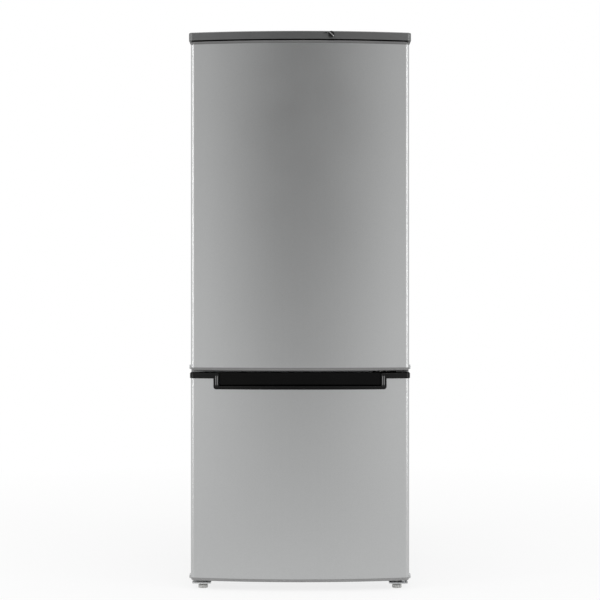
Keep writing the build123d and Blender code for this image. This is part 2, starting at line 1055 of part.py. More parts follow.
def compressor():
    """Sealed oval compressor shell with its weld seam, mounting plate and pipe stubs."""
    spot = Pos(compressor_x, bay_middle, compressor_floor)
    shell = spot * extrude(Ellipse(compressor_half_length, compressor_half_width), compressor_height)
    shell = fillet(shell.edges().group_by(Axis.Z)[-1], compressor_dome)
    shell = fillet(shell.edges().group_by(Axis.Z)[0], compressor_belly)
    seam_face = Ellipse(compressor_half_length + seam_proud, compressor_half_width + seam_proud)
    seam = spot * Pos(0, 0, compressor_height / 2) * extrude(seam_face, seam_height)
    plate_floor = compressor_floor - mount_plate
    plate = slab(
        compressor_x - mount_length / 2,
        compressor_x + mount_length / 2,
        bay_middle - mount_width / 2,
        bay_middle + mount_width / 2,
        plate_floor,
        compressor_floor,
        grommet_radius,
    )
    for x, y in grommet_places():
        plate -= rod(stud_radius, (x, y, plate_floor - overcut), (x, y, compressor_floor + overcut))
    body = shell + seam + plate
    z = compressor_floor + stub_lift
    for x in (discharge_x, suction_x):
        body += rod(stub_radius, (x, bay_middle, z), (x, bay_middle + stub_length, z))
    return body


def compressor_grommets():
    """Rubber feet and the studs through them."""
    made = []
    for x, y in grommet_places():
        sleeve = rod(grommet_radius, (x, y, tray_top), (x, y, tray_top + grommet_height))
        sleeve = fillet(sleeve.edges().group_by(Axis.Z)[-1], small_round)
        made.append(sleeve + rod(stud_radius, (x, y, cabinet_floor), (x, y, compressor_floor + mount_plate))),
    return Compound(children=made)


def relay_box():
    """Plastic box on the compressor's end with the start relay, and the cord's entry."""
    x0 = compressor_x + compressor_half_length - relay_width / 2
    z0 = compressor_floor + relay_lift
    box = block(
        x0,
        x0 + relay_width,
        bay_middle - relay_depth / 2,
        bay_middle + relay_depth / 2,
        z0,
        z0 + relay_height,
    )
    box = fillet(box.edges().group_by(Axis.X)[-1], soft_round)
    middle = z0 + cord_entry_lift
    end = bay_middle + relay_depth / 2
    box += rod(
        cord_entry_radius,
        (x0 + relay_width / 2, end, middle),
        (x0 + relay_width / 2, end + cord_entry_length, middle),
    )
    spot = Pos(compressor_x, bay_middle, compressor_floor)
    shell = spot * extrude(Ellipse(compressor_half_length, compressor_half_width), compressor_height)
    shell = fillet(shell.edges().group_by(Axis.Z)[-1], compressor_dome)
    shell = fillet(shell.edges().group_by(Axis.Z)[0], compressor_belly)
    seam_face = Ellipse(compressor_half_length + seam_proud, compressor_half_width + seam_proud)
    seam = spot * Pos(0, 0, compressor_height / 2) * extrude(seam_face, seam_height)
    return box - shell - seam


def drip_tray():
    """Tray on the compressor's top in which defrost water dries up."""
    y = bay_middle + drip_offset
    outer = slab(
        compressor_x - drip_width / 2,
        compressor_x + drip_width / 2,
        y - drip_length / 2,
        y + drip_length / 2,
        compressor_top,
        compressor_top + drip_height,
        drip_corner,
    )
    inside = slab(
        compressor_x - drip_width / 2 + drip_wall,
        compressor_x + drip_width / 2 - drip_wall,
        y - drip_length / 2 + drip_wall,
        y + drip_length / 2 - drip_wall,
        compressor_top + drip_wall,
        compressor_top + drip_height + overcut,
        drip_corner - drip_wall,
    )
    return outer - inside


def condenser_foot():
    """Z of the lower ends of the condenser's riser and tail."""
    return bay_top - pipe_bend


def refrigerant_pipes():
    """Discharge and suction pipes, filter drier and capillary."""
    z = compressor_floor + stub_lift
    stub_end = bay_middle + stub_length
    foot_z = condenser_foot()
    discharge = pipe(
        [
            (discharge_x, stub_end, z),
            (discharge_x, condenser_y, z),
            (condenser_riser, condenser_y, z),
            (condenser_riser, condenser_y, foot_z),
        ],
        pipe_radius,
        pipe_bend,
    )
    suction = pipe(
        [
            (suction_x, stub_end, z),
            (suction_x, stub_end + pipe_bend, z),
            (suction_x, stub_end + pipe_bend, bay_top),
        ],
        pipe_radius,
        suction_bend,
    )
    x, y = condenser_tail_x, condenser_y
    drier = rod(drier_radius, (x, y, foot_z - drier_neck - drier_length), (x, y, foot_z - drier_neck))
    drier = fillet(drier.edges().filter_by(GeomType.CIRCLE), drier_radius / 2)
    low = foot_z - 2 * drier_neck - drier_length
    drier += rod(pipe_radius, (x, y, low), (x, y, foot_z))
    capillary = pipe(
        [
            (x, y, low),
            (x, y, low - capillary_drop),
            (capillary_x, y, low - capillary_drop),
            (capillary_x, y - capillary_set, low - capillary_drop),
            (capillary_x, y - capillary_set, bay_top),
        ],
        capillary_radius,
        capillary_bend,
    )
    return Compound(children=[discharge, suction, drier, capillary])


def condenser():
    """Serpentine tube on the back with upright wires on both its faces."""
    y = condenser_y
    points = [(condenser_riser, y, condenser_foot()), (condenser_riser, y, condenser_top)]
    for i in range(condenser_runs):
        z = condenser_top - i * condenser_pitch
        near = condenser_half if i % 2 == 0 else -condenser_half
        if i > 0:
            points.append((near, y, z))
        points.append((-near, y, z))
    points[-1] = (condenser_tail_x, y, condenser_floor)
    points.append((condenser_tail_x, y, condenser_foot()))
    made = [pipe(points, condenser_tube, condenser_pitch * bend_share)]
    for i in range(wires_each_side):
        x = (i - (wires_each_side - 1) / 2) * wire_pitch
        for side in (-1, 1):
            wire_y = y + side * (condenser_tube + condenser_wire + wire_gap)
            made.append(
                rod(
                    condenser_wire,
                    (x, wire_y, condenser_floor - wire_end),
                    (x, wire_y, condenser_top + wire_end),
                )
            )
    return Compound(children=made)


def condenser_clips():
    """Clips that carry the condenser on the back panel and keep it off the wall."""
    made = []
    for run in (1, condenser_runs // 2, condenser_runs - 2):
        z = condenser_floor + run * condenser_pitch
        for side in (-1, 1):
            x = side * clip_x
            clip = block(
                x - clip_width / 2,
                x + clip_width / 2,
                cabinet_back,
                back,
                z - clip_height / 2,
                z + clip_height / 2,
            )
            clip = fillet(clip.edges().filter_by(Axis.X), soft_round)
            clip -= rod(condenser_tube, (x - clip_width, condenser_y, z), (x + clip_width, condenser_y, z))
            made.append(clip)
    return Compound(children=made)


# Fridge interior


def glass_shelves():
    """Toughened glass shelves, the lowest of which is the crispers' lid."""
    made = []
    for z in shelf_heights:
        made.append(
            block(
                -fridge_half + slide_gap,
                fridge_half - slide_gap,
                shelf_front + trim_depth - trim_groove,
                shelf_back,
                z,
                z + shelf_glass,
            )
        )
    return Compound(children=made)


def shelf_trims():
    """Grooved plastic strips along the shelves' front edges."""
    made = []
    half = fridge_half - slide_gap
    for z in shelf_heights:
        trim = block(
            -half, half, shelf_front, shelf_front + trim_depth, z + shelf_glass / 2 - trim_height / 2,
            z + shelf_glass / 2 + trim_height / 2,
        )
        trim = fillet(trim.edges().filter_by(Axis.X).group_by(Axis.Y)[0], soft_round)
        groove = block(
            -half - overcut, half + overcut, shelf_front + trim_depth - trim_groove,
            shelf_front + trim_depth + overcut, z, z + shelf_glass,
        )
        made.append(trim - groove)
    return Compound(children=made)


def crisper(side):
    """Clear vegetable drawer with a finger grip."""
    inner, outer = crisper_middle / 2, fridge_half - crisper_side
    x0, x1 = (inner, outer) if side > 0 else (-outer, -inner)
    z0 = fridge_floor + crisper_runner + slide_gap
    z1 = lid_height - trim_height / 2 - lift_gap
    return tub(x0, x1, crisper_front, crisper_back, z0, z1, tub_corner) + grip(x0, x1, crisper_front, z1)


def lamp_cover():
    """Translucent cover on the ceiling, open at the top around the bulb."""
    y0 = cabinet_front + lamp_set
    x0, x1 = -lamp_width / 2, lamp_width / 2
    outer = slab(x0, x1, y0, y0 + lamp_length, fridge_ceiling - lamp_drop, fridge_ceiling, lamp_corner)
    outer = fillet(outer.edges().group_by(Axis.Z)[0], lamp_corner / 2)
    inside = slab(
        x0 + lamp_wall, x1 - lamp_wall, y0 + lamp_wall, y0 + lamp_length - lamp_wall,
        fridge_ceiling - lamp_drop + lamp_wall, fridge_ceiling + overcut, lamp_corner - lamp_wall,
    )
    return outer - inside


def lamp_bulb():
    """Small bulb lying under the ceiling, in a socket that stands on it."""
    y = cabinet_front + lamp_set + lamp_length / 2
    z = fridge_ceiling - lamp_drop / 2
    bulb = rod(bulb_radius, (-bulb_length / 2, y, z), (bulb_length / 2, y, z))
    bulb = fillet(bulb.edges().group_by(Axis.X)[0], bulb_radius - edge_break)
    socket = block(
        bulb_length / 2 - bulb_radius, bulb_length / 2 + bulb_radius / 2, y - bulb_radius, y + bulb_radius,
        z - bulb_radius, fridge_ceiling,
    )
    return bulb + socket


def light_switch():
    """Door switch under the ceiling, bored for its plunger."""
    y0 = cabinet_front + switch_set
    x0, x1 = switch_x - switch_width / 2, switch_x + switch_width / 2
    case = block(x0, x1, y0, y0 + switch_length, fridge_ceiling - switch_height, fridge_ceiling)
    case = fillet(case.edges().filter_by(Axis.Y).group_by(Axis.Z)[0], soft_round)
    z = fridge_ceiling - switch_height / 2
    bore = rod(
        plunger_radius + running_fit,
        (switch_x, y0 - overcut, z),
        (switch_x, y0 + plunger_guide + slide_gap, z),
    )
    return case - bore


def light_switch_plunger():
    """Sprung button of the door switch, held in by the closed door."""
    y0 = cabinet_front + switch_set
    z = fridge_ceiling - switch_height / 2
    button = rod(plunger_radius, (switch_x, plateau_face + seal_gap, z), (switch_x, y0 + plunger_guide, z))
    return fillet(button.edges().group_by(Axis.Y)[0], plunger_radius / 2)


# Freezer interior


def frost_shelf(z):
    """One evaporator shelf: a tube that runs to the front and back, with both ends in the back wall."""
    reach = freezer_half - frost_side_gap
    pitch = 2 * reach / (frost_runs - 1)
    y0 = cabinet_front + frost_front_set + frost_tube
    y1 = freezer_back - frost_back_gap
    points = []
    for i in range(frost_runs):
        x = -reach + i * pitch
        ends = (y1, y0) if i % 2 == 0 else (y0, y1)
        points += [(x, y, z) for y in ends]
    points[0] = (-reach, freezer_back, z)
    points[-1] = (reach, freezer_back, z)
    return pipe(points, frost_tube, pitch * bend_share)


def freezer_evaporator():
    """The two evaporator shelves that the upper drawers stand on."""
    return Compound(children=[frost_shelf(frost_low), frost_shelf(frost_high)])


def drawer(z0, z1, y1):
    """Freezer drawer with a finger grip."""
    half = freezer_half - drawer_side
    y0 = cabinet_front + drawer_set
    return tub(-half, half, y0, y1, z0, z1, tub_corner) + grip(-half, half, y0, z1)


def bottom_drawer():
    """Short drawer in front of the machine bay's step."""
    return drawer(freezer_floor + slide_gap, step_top - lift_gap, step_front - drawer_back_gap)


def middle_drawer():
    """Drawer on the lower evaporator shelf."""
    return drawer(
        frost_low + frost_tube + slide_gap,
        frost_high - frost_tube - lift_gap,
        freezer_back - 2 * drawer_back_gap,
    )


def top_drawer():
    """Drawer on the upper evaporator shelf."""
    return drawer(
        frost_high + frost_tube + slide_gap,
        freezer_ceiling - drawer_head,
        freezer_back - 2 * drawer_back_gap,
    )


# Doors


def boss(z0, z1):
    """Upright cylinder of a cap's hinge socket."""
    return rod(boss_radius, (hinge_x, hinge_y, z0), (hinge_x, hinge_y, z1))


def socket_depth():
    """Depth of the hinge socket's bore from the cap's outer face."""
    return pin_reach + pin_end_gap


def socket_bore(z0, z1):
    """Bore that runs on the hinge pin."""
    return rod(pin_radius + running_fit, (hinge_x, hinge_y, z0), (hinge_x, hinge_y, z1))


def cap_form(z0, z1):
    """Plan of an end cap, set a little inside the door's skin."""
    return bowed(door_half - cap_inset, cap_inset, door_back, door_corner - cap_inset, z0, z1)


def top_cap(top):
    """End cap at a door's top, with its hinge socket."""
    cap = cap_form(top - cap_height, top)
    cap = fillet(cap.edges().group_by(Axis.Z)[-1], cap_round)
    cap += boss(top - socket_depth() - boss_floor, top - cap_height)
    return cap - socket_bore(top - socket_depth(), top + overcut)


def bottom_cap(bottom):
    """End cap at a door's bottom, with its hinge socket."""
    cap = cap_form(bottom, bottom + cap_height)
    cap = fillet(cap.edges().group_by(Axis.Z)[0], cap_round)
    cap += boss(bottom + cap_height, bottom + socket_depth() + boss_floor)
    return cap - socket_bore(bottom - overcut, bottom + socket_depth())


def door_skin(z0, z1):
    """Painted steel skin: bowed front and two straight sides."""
    outer = bowed(door_half, 0, door_back, door_corner, z0, z1)
    inside = bowed(
        door_half - door_sheet,
        door_sheet,
        door_back + overcut,
        door_corner - door_sheet,
        z0 - overcut,
        z1 + overcut,
    )
    return outer - inside


def door_core(z0, z1):
    """Space inside a door's skin, in front of its liner."""
    return bowed(
        door_half - door_sheet, door_sheet, door_back - liner_wall, door_corner - door_sheet, z0, z1
    )


def door_gasket(z0, z1):
    """Magnetic gasket: two flat loops joined by a narrower neck."""
    layer = gasket_depth / 3

    def loop(inset, y0, y1):
        outer = pad(
            -gasket_half + inset, gasket_half - inset, y0, y1, z0 + inset, z1 - inset, gasket_corner - inset
        )
        inner = inset + gasket_width - 2 * inset
        hole = pad(
            -gasket_half + inner, gasket_half - inner, y0 - overcut, y1 + overcut, z0 + inner, z1 - inner,
            gasket_corner / 2,
        )
        return outer - hole

    base = loop(0, door_back, door_back + layer)
    neck = loop(gasket_neck, door_back + layer, door_back + 2 * layer)
    face = loop(0, door_back + 2 * layer, door_back + gasket_depth)
    return base + neck + face


def plateau(z0, z1, inset):
    """Raised middle of a door liner, or the foam in it when inset by the wall."""
    edge = gasket_width + plateau_margin + inset
    return pad(
        -plateau_half + inset,
        plateau_half - inset,
        door_back - liner_wall,
        plateau_face - inset,
        z0 + edge,
        z1 - edge, plateau_corner - inset,
    )


def dykes(z0, z1, inset):
    """The two upright ribs of the fridge door's liner, or the foam in them."""
    form = slab(
        dyke_inner + inset,
        dyke_inner + dyke_width - inset,
        door_back - liner_wall,
        dyke_face - inset,
        z0 + inset,
        z1 - inset, dyke_round - inset,
    )
    form += block(
        dyke_inner + inset,
        dyke_inner + dyke_width - inset,
        door_back - liner_wall,
        plateau_face,
        z0 + inset,
        z1 - inset,
    )
    return form + mirror(form, Plane.YZ)


def liner_plate(z0, z1):
    """Flat sheet of a door liner, between the skin's sides."""
    half = door_half - door_sheet
    return block(-half, half, door_back - liner_wall, door_back, z0, z1)


fridge_core = (fridge_door_bottom + cap_height, fridge_door_top - cap_height)
fridge_seal = (rail_top - gasket_width + rail_margin, cabinet_top - gasket_margin)
dyke_span = (bins_base, dyke_top)
freezer_core = (freezer_door_bottom + cap_height, freezer_door_top - handle_band)
freezer_seal = (cabinet_floor + gasket_margin - rail_margin, rail_bottom + gasket_width - rail_margin)


def bin_places():
    """Floor and height of every door bin, lowest first."""
    start = bottle_floor + bottle_bin_height
    room = (dairy_floor - start - middle_bin_count * middle_bin_height) / (middle_bin_count + 1)
    middles = [start + room + i * (middle_bin_height + room) for i in range(middle_bin_count)]
    tall = [bottle_bin_height, *[middle_bin_height] * middle_bin_count, dairy_bin_height]
    return list(zip([bottle_floor, *middles, dairy_floor], tall))


def door_bin(floor, tall):
    """Clear bin that hangs between the door liner's ribs."""
    half = dyke_inner - slide_gap
    return tub(-half, half, bin_floor, bin_floor + bin_depth, floor, floor + tall, bin_corner)


def fridge_door_liner():
    """White inner face of the upper door: plateau, upright ribs and the lugs that carry the bins."""
    z0, z1 = fridge_core
    liner = liner_plate(z0, z1) + plateau(*fridge_seal, 0) + dykes(*dyke_span, 0)
    liner = liner - plateau(*fridge_seal, liner_wall) - dykes(*dyke_span, liner_wall)
    for floor, _ in bin_places():
        for side in (-1, 1):
            x0, x1 = sorted((side * (dyke_inner - bin_lug), side * dyke_inner))
            liner += block(
                x0, x1, plateau_face, dyke_face - dyke_round, floor - bin_lug_height, floor
            )
    hole = rod(
        flap_pin + running_fit,
        (-dyke_inner - liner_wall, flap_pivot_y, flap_pivot_z),
        (dyke_inner + liner_wall, flap_pivot_y, flap_pivot_z),
    )
    return liner - hole


def fridge_door_foam():
    """Insulation inside the upper door and its liner's ribs."""
    z0, z1 = fridge_core
    foam = door_core(z0, z1) + plateau(*fridge_seal, liner_wall) + dykes(*dyke_span, liner_wall)
    reach = socket_depth() + boss_floor
    foam = foam - boss(fridge_door_bottom, fridge_door_bottom + reach)
    return foam - boss(fridge_door_top - reach, fridge_door_top)


def dairy_flap():
    """Clear flap over the dairy bin, on two short pins in the ribs."""
    half = dyke_inner - flap_thickness
    top = flap_pivot_z + flap_thickness / 2
    plate = block(-half, half, flap_pivot_y, flap_end, top - flap_thickness, top)
    lip = block(-half, half, flap_end, flap_end + flap_thickness, top - flap_lip, top)
    lid = plate + lip
    along = lid.edges().filter_by(Axis.X)
    lid = fillet(along.sort_by(lambda edge: edge.center().Y + edge.center().Z)[-1], flap_corner)
    knuckle = rod(flap_knuckle, (-half, flap_pivot_y, flap_pivot_z), (half, flap_pivot_y, flap_pivot_z))
    pins = rod(
        flap_pin,
        (-dyke_inner - liner_wall / 2, flap_pivot_y, flap_pivot_z),
        (dyke_inner + liner_wall / 2, flap_pivot_y, flap_pivot_z),
    )
    return lid + knuckle + pins


# Handle cap of the lower door

band_bottom = freezer_door_top - handle_band
frame_bottom = band_bottom - handle_drop
rim_top = frame_bottom + handle_rim_foot
trough_floor = rim_top - pocket_trough
frame_half = handle_width / 2
pocket_half = frame_half - handle_rim


def handle_frame():
    """Outline of the pocket's frame where it shows in the door's front, right through the door."""
    return pad(
        -frame_half, frame_half, door_front - overcut, pocket_back + tub_wall, frame_bottom,
        band_bottom + handle_corner, handle_corner,
    ) + block(
        -frame_half, frame_half, door_front - overcut, pocket_back + tub_wall, frame_bottom + handle_corner,
        band_bottom,
    )


def front_edges(form, half, low, high):
    """Edges on the handle cap's proud front, within a half width and between two heights."""
    found = []
    for edge in form.edges():
        spot = edge.center()
        on_front = abs(spot.Y - front_y(spot.X, -handle_proud)) < edge_break
        across = abs(spot.X) < half + edge_break
        if on_front and across and low - edge_break < spot.Z < high + edge_break:
            found.append(edge)
    return found


def handle_keel():
    """Lower part of the pocket, behind the door's skin."""
    return bowed(
        frame_half - handle_corner,
        door_sheet,
        pocket_back + tub_wall,
        pocket_corner,
        trough_floor - tub_wall,
        frame_bottom + handle_corner,
    )


def freezer_door_handle():
    """Black cap along the lower door's top edge, with a framed finger pocket."""
    proud = bowed(
        door_half + handle_proud,
        -handle_proud,
        door_back,
        door_corner + handle_proud,
        band_bottom,
        freezer_door_top,
    )
    proud = fillet(proud.edges().group_by(Axis.Z)[-1] + proud.edges().group_by(Axis.Z)[0], handle_round)
    face = bowed(
        door_half,
        -handle_proud,
        door_back,
        door_corner,
        frame_bottom - overcut,
        band_bottom + handle_corner,
    )
    frame = handle_frame() & face
    frame = fillet(front_edges(frame, frame_half, frame_bottom, band_bottom), rim_round)
    high = freezer_door_top + overcut
    mouth = pad(-pocket_half, pocket_half, front, pocket_back, rim_top, high, mouth_corner)
    trough = bowed(
        pocket_half, pocket_lip, pocket_back, pocket_corner, trough_floor, high
    )
    cap = proud + frame + handle_keel() - mouth - trough
    cap = fillet(front_edges(cap, pocket_half, rim_top, freezer_door_top), rim_round)
    cap += boss(freezer_door_top - socket_depth() - boss_floor, band_bottom + handle_round)
    return cap - socket_bore(freezer_door_top - socket_depth(), freezer_door_top + overcut)


def freezer_door_panel():
    """Lower door's steel skin, notched for the handle's frame."""
    return door_skin(freezer_core[0], freezer_core[1]) - handle_frame()


def freezer_door_foam():
    """Insulation inside the lower door."""
    foam = door_core(*freezer_core) + plateau(*freezer_seal, liner_wall)
    foam = foam - handle_frame() - handle_keel()
    reach = socket_depth() + boss_floor
    foam = foam - boss(freezer_door_bottom, freezer_door_bottom + reach)
    return foam - boss(freezer_door_top - reach, freezer_door_top)


def freezer_door_liner():
    """White inner face of the lower door."""
    liner = liner_plate(*freezer_core) + plateau(*freezer_seal, 0)
    return liner - plateau(*freezer_seal, liner_wall)


nodes = {
    "left_side_panel": side_panel(-1),
    "right_side_panel": side_panel(1),
    "top_panel": top_panel(),
    "back_panel": back_panel(),
    "base_plate": base_plate(),
    "centre_rail": centre_rail(),
    "cabinet_foam": cabinet_foam(),
    "fridge_liner": fridge_liner(),
    "freezer_liner": freezer_liner(),
    "fridge_evaporator": fridge_evaporator(),
    "freezer_evaporator": freezer_evaporator(),
    "drain_tube": drain_tube(),
    "top_cover": top_cover(),
    "thermostat_body": thermostat_body(),
    "thermostat_knob": thermostat_knob(),
    "top_hinge": top_hinge(),
    "middle_hinge": middle_hinge(),
    "bottom_hinge": bottom_hinge(),
    "left_foot_bracket": mirror(floor_bracket(), Plane.YZ),
    "hinge_screws": hinge_screws(),
    "left_foot": foot(-1),
    "right_foot": foot(1),
    "left_roller": roller(-1),
    "right_roller": roller(1),
    "roller_axles": roller_axles(),
    "compressor_tray": compressor_tray(),
    "compressor": compressor(),
    "compressor_grommets": compressor_grommets(),
    "relay_box": relay_box(),
    "drip_tray": drip_tray(),
    "refrigerant_pipes": refrigerant_pipes(),
    "condenser": condenser(),
    "condenser_clips": condenser_clips(),
    "glass_shelves": glass_shelves(),
    "shelf_trims": shelf_trims(),
    "left_crisper": crisper(-1),
    "right_crisper": crisper(1),
    "lamp_cover": lamp_cover(),
    "lamp_bulb": lamp_bulb(),
    "light_switch": light_switch(),
    "light_switch_plunger": light_switch_plunger(),
    "top_drawer": top_drawer(),
    "middle_drawer": middle_drawer(),
    "bottom_drawer": bottom_drawer(),
    "fridge_door_panel": door_skin(*fridge_core),
    "fridge_door_foam": fridge_door_foam(),
    "fridge_door_liner": fridge_door_liner(),
    "fridge_door_gasket": door_gasket(*fridge_seal),
    "fridge_door_top_cap": top_cap(fridge_door_top),
    "fridge_door_bottom_cap": bottom_cap(fridge_door_bottom),
    "bottle_bin": door_bin(*bin_places()[0]),
    "middle_bins": Compound(children=[door_bin(*place) for place in bin_places()[1:-1]]),
    "dairy_bin": door_bin(*bin_places()[-1]),
    "dairy_flap": dairy_flap(),
    "freezer_door_panel": freezer_door_panel(),
    "freezer_door_foam": freezer_door_foam(),
    "freezer_door_liner": freezer_door_liner(),
    "freezer_door_gasket": door_gasket(*freezer_seal),
    "freezer_door_handle": freezer_door_handle(),
    "freezer_door_bottom_cap": bottom_cap(freezer_door_bottom),
}

os.makedirs("parts", exist_ok=True)
for name, shape in nodes.items():
    export_step(shape, f"parts/{name}.step")
print(len(nodes), "nodes")
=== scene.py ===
# %% [markdown]
# # A two-door refrigerator, dressed around its frame
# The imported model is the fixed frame: every piece in it already has its place and its real size, in
# metres. This lesson gives each surface its finish and adds the pieces whose shape a plain solid only
# hints at: folded door seals, the wire condenser, moulded tubs with rolled rims, threaded feet. Nothing
# in the frame is moved.

# %% Load the frame
import json
import bmesh
import bpy
import numpy as np
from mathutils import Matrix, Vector


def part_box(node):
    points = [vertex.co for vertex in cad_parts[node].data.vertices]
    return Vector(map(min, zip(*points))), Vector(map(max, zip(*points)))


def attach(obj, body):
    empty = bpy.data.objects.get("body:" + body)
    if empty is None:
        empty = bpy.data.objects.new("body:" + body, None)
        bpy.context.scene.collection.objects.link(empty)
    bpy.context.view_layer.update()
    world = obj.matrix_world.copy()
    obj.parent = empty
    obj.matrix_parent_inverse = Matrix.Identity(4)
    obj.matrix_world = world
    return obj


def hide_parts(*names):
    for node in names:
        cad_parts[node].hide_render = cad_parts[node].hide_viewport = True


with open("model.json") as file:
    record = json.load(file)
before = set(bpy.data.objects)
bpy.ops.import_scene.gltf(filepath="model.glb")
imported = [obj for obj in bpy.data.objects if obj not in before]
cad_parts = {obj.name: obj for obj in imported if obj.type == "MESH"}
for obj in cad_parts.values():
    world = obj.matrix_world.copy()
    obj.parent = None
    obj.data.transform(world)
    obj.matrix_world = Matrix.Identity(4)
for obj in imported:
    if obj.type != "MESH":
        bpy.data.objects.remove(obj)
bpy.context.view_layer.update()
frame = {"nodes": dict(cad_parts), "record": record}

mm = 0.001
slot_of = {part["node"]: part["material_slot"] for part in frame["record"]["subparts"]}

# %% [markdown]
# ## Camera
# The photograph looks straight at the doors from a few metres away, and the cabinet's upright edges stay
# upright. A camera that is tilted would make them lean, so this one is level, at half the height of the
# refrigerator. Its lens follows from the distance and from how many pixels a metre takes at the doors'
# upright edges.

# %% Camera
image_pixels = 600
pixels_per_metre = 384
view_distance = 3.6
eye_height = 0.7535
door_bow = 26 * mm

panel_low, panel_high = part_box("fridge_door_panel")
door_edge_y = panel_low.y + door_bow
lens = bpy.data.cameras.new("camera")
lens.lens = lens.sensor_width * view_distance * pixels_per_metre / image_pixels
camera = bpy.data.objects.new("camera", lens)
camera.location = (0, door_edge_y - view_distance, eye_height)
camera.rotation_euler = (np.pi / 2, 0, 0)
scene = bpy.context.scene
scene.collection.objects.link(camera)
scene.camera = camera
scene.view_settings.view_transform = "Standard"
print("camera: lens", round(lens.lens, 1), "mm")

# %% [markdown]
# ## Nodes in one line
# A shader is a small graph, and written out it takes many lines. One helper adds a node, sets its
# properties and gives each socket either a number or a link. The others are the few sums that come up
# again and again. With them the finishes below read like recipes.

# %% Node helpers


def node(tree, kind, sockets=None, **settings):
    """One shader node. Settings are its properties, and each socket gets a number or a link."""
    made = tree.nodes.new("ShaderNode" + kind)
    for name, value in settings.items():
        setattr(made, name, value)
    for name, value in (sockets or {}).items():
        if isinstance(value, bpy.types.NodeSocket):
            tree.links.new(value, made.inputs[name])
        else:
            made.inputs[name].default_value = value
    return made


def reckon(tree, operation, *numbers):
    """Result of an operation on one or two numbers, such as their product or the larger of both."""
    return node(tree, "Math", dict(enumerate(numbers)), operation=operation).outputs[0]


def reckon_vectors(tree, operation, *vectors, result="Vector"):
    """Result of an operation on one or two vectors: a vector again, or a value such as a length."""
    return node(tree, "VectorMath", dict(enumerate(vectors)), operation=operation).outputs[result]


def between(tree, value, low, high, from_low=0.0, from_high=1.0):
    """A number that runs from low to high while value runs over its own range."""
    ends = {"From Min": from_low, "From Max": from_high, "To Min": low, "To Max": high}
    return node(tree, "MapRange", {"Value": value, **ends}).outputs["Result"]


def coordinate(tree, spot, axis):
    """One coordinate of a place."""
    return node(tree, "SeparateXYZ", {0: spot}).outputs[axis]


def seen_ray(tree):
    """1 for rays that show a surface to the camera, in a mirror or through glass, and 0 for the rest."""
    path = node(tree, "LightPath").outputs
    mirrored = reckon(tree, "MAXIMUM", path["Is Glossy Ray"], path["Is Transmission Ray"])
    return reckon(tree, "MAXIMUM", path["Is Camera Ray"], mirrored)


print("helpers: node, reckon, reckon_vectors, between, coordinate, seen_ray")

# %% [markdown]
# ## Studio
# A product photograph of this kind has a white surround with hardly a shadow. White light from all round
# would make the silver doors flat, so photographers stand a grey card behind the camera: the bowed doors
# mirror its dark middle in their centre and the white at its ends along their edges. The card here shows
# in reflections alone. The floor is pale and takes the shadow near the object, and further out it fades
# to the white of the surround. In reflections a strip of the floor before the doors is a shade darker,
# as if the card went on along the floor.

# %% Surround
surround_fill = 0.72

world = bpy.data.worlds.new("studio")
scene.world = world
world.use_nodes = True
world.node_tree.nodes.clear()
tree = world.node_tree
strength = between(tree, seen_ray(tree), surround_fill, 1.0)
surround = node(tree, "Background", {"Color": (1, 1, 1, 1), "Strength": strength})
node(tree, "OutputWorld", {"Surface": surround.outputs[0]})
print("studio: white surround")

# %% Floor
floor_half = 40.0
floor_grey = 0.87
shadow_share = 0.2
fade_start = 0.5
fade_end = 2.5
strip_shade = 0.82
strip_start = 0.5
strip_end = 1.6
strip_half = 0.3
strip_edge = 1.6
square = ((-1, -1), (1, -1), (1, 1), (-1, 1))


def stage_sheet(name, corners):
    """A flat four-cornered sheet that belongs to the studio, with an empty material."""
    mesh = bpy.data.meshes.new(name)
    mesh.from_pydata(corners, [], [(0, 1, 2, 3)])
    sheet = bpy.data.objects.new(name, mesh)
    scene.collection.objects.link(sheet)
    material = bpy.data.materials.new(name)
    material.use_nodes = True
    material.node_tree.nodes.clear()
    mesh.materials.append(material)
    return sheet, material.node_tree


tree = stage_sheet("floor", [(floor_half * i, floor_half * j, 0) for i, j in square])[1]
spot = node(tree, "TexCoord").outputs["Object"]
away = reckon_vectors(tree, "LENGTH", spot, result="Value")
white = between(tree, away, 1 - shadow_share, 1.0, fade_start, fade_end)
share = reckon(tree, "MULTIPLY", white, seen_ray(tree))
matt = node(tree, "BsdfDiffuse", {"Color": (floor_grey, floor_grey, floor_grey, 1)})
aside = reckon(tree, "ABSOLUTE", coordinate(tree, spot, "X"))
deep = between(tree, away, 1.0, strip_shade, strip_start, strip_end)
strip = between(tree, aside, deep, 1.0, strip_half, strip_edge)
strength = between(tree, node(tree, "LightPath").outputs["Is Glossy Ray"], 1.0, strip)
glow = node(tree, "Emission", {"Color": (1, 1, 1, 1), "Strength": strength})
mixed = node(tree, "MixShader", {0: share, 1: matt.outputs[0], 2: glow.outputs[0]})
node(tree, "OutputMaterial", {"Surface": mixed.outputs[0]})
print("studio: pale floor")

# %% Grey card
card_distance = 6.5
card_half = 6.0
card_height = 7.0
card_dark_half = 0.3
card_white_half = 3.2
card_end_level = 0.68
card_foot_level = 0.44
card_top_level = 0.05
card_fade_height = 2.4

card_corners = [(card_half * i, -card_distance, card_height * (1 + j) / 2) for i, j in square]
card, tree = stage_sheet("grey_card", card_corners)
for ray in ("camera", "diffuse", "transmission", "shadow", "volume_scatter"):
    setattr(card, "visible_" + ray, False)
spot = node(tree, "TexCoord").outputs["Object"]
aside = reckon(tree, "ABSOLUTE", coordinate(tree, spot, "X"))
across = between(tree, aside, 0.0, card_end_level, card_dark_half, card_white_half)
height = coordinate(tree, spot, "Z")
upward = between(tree, height, card_foot_level, card_top_level, 0.0, card_fade_height)
level = reckon(tree, "ADD", across, upward)
glow = node(tree, "Emission", {"Color": (1, 1, 1, 1), "Strength": level})
node(tree, "OutputMaterial", {"Surface": glow.outputs[0]})
print("studio: grey card")

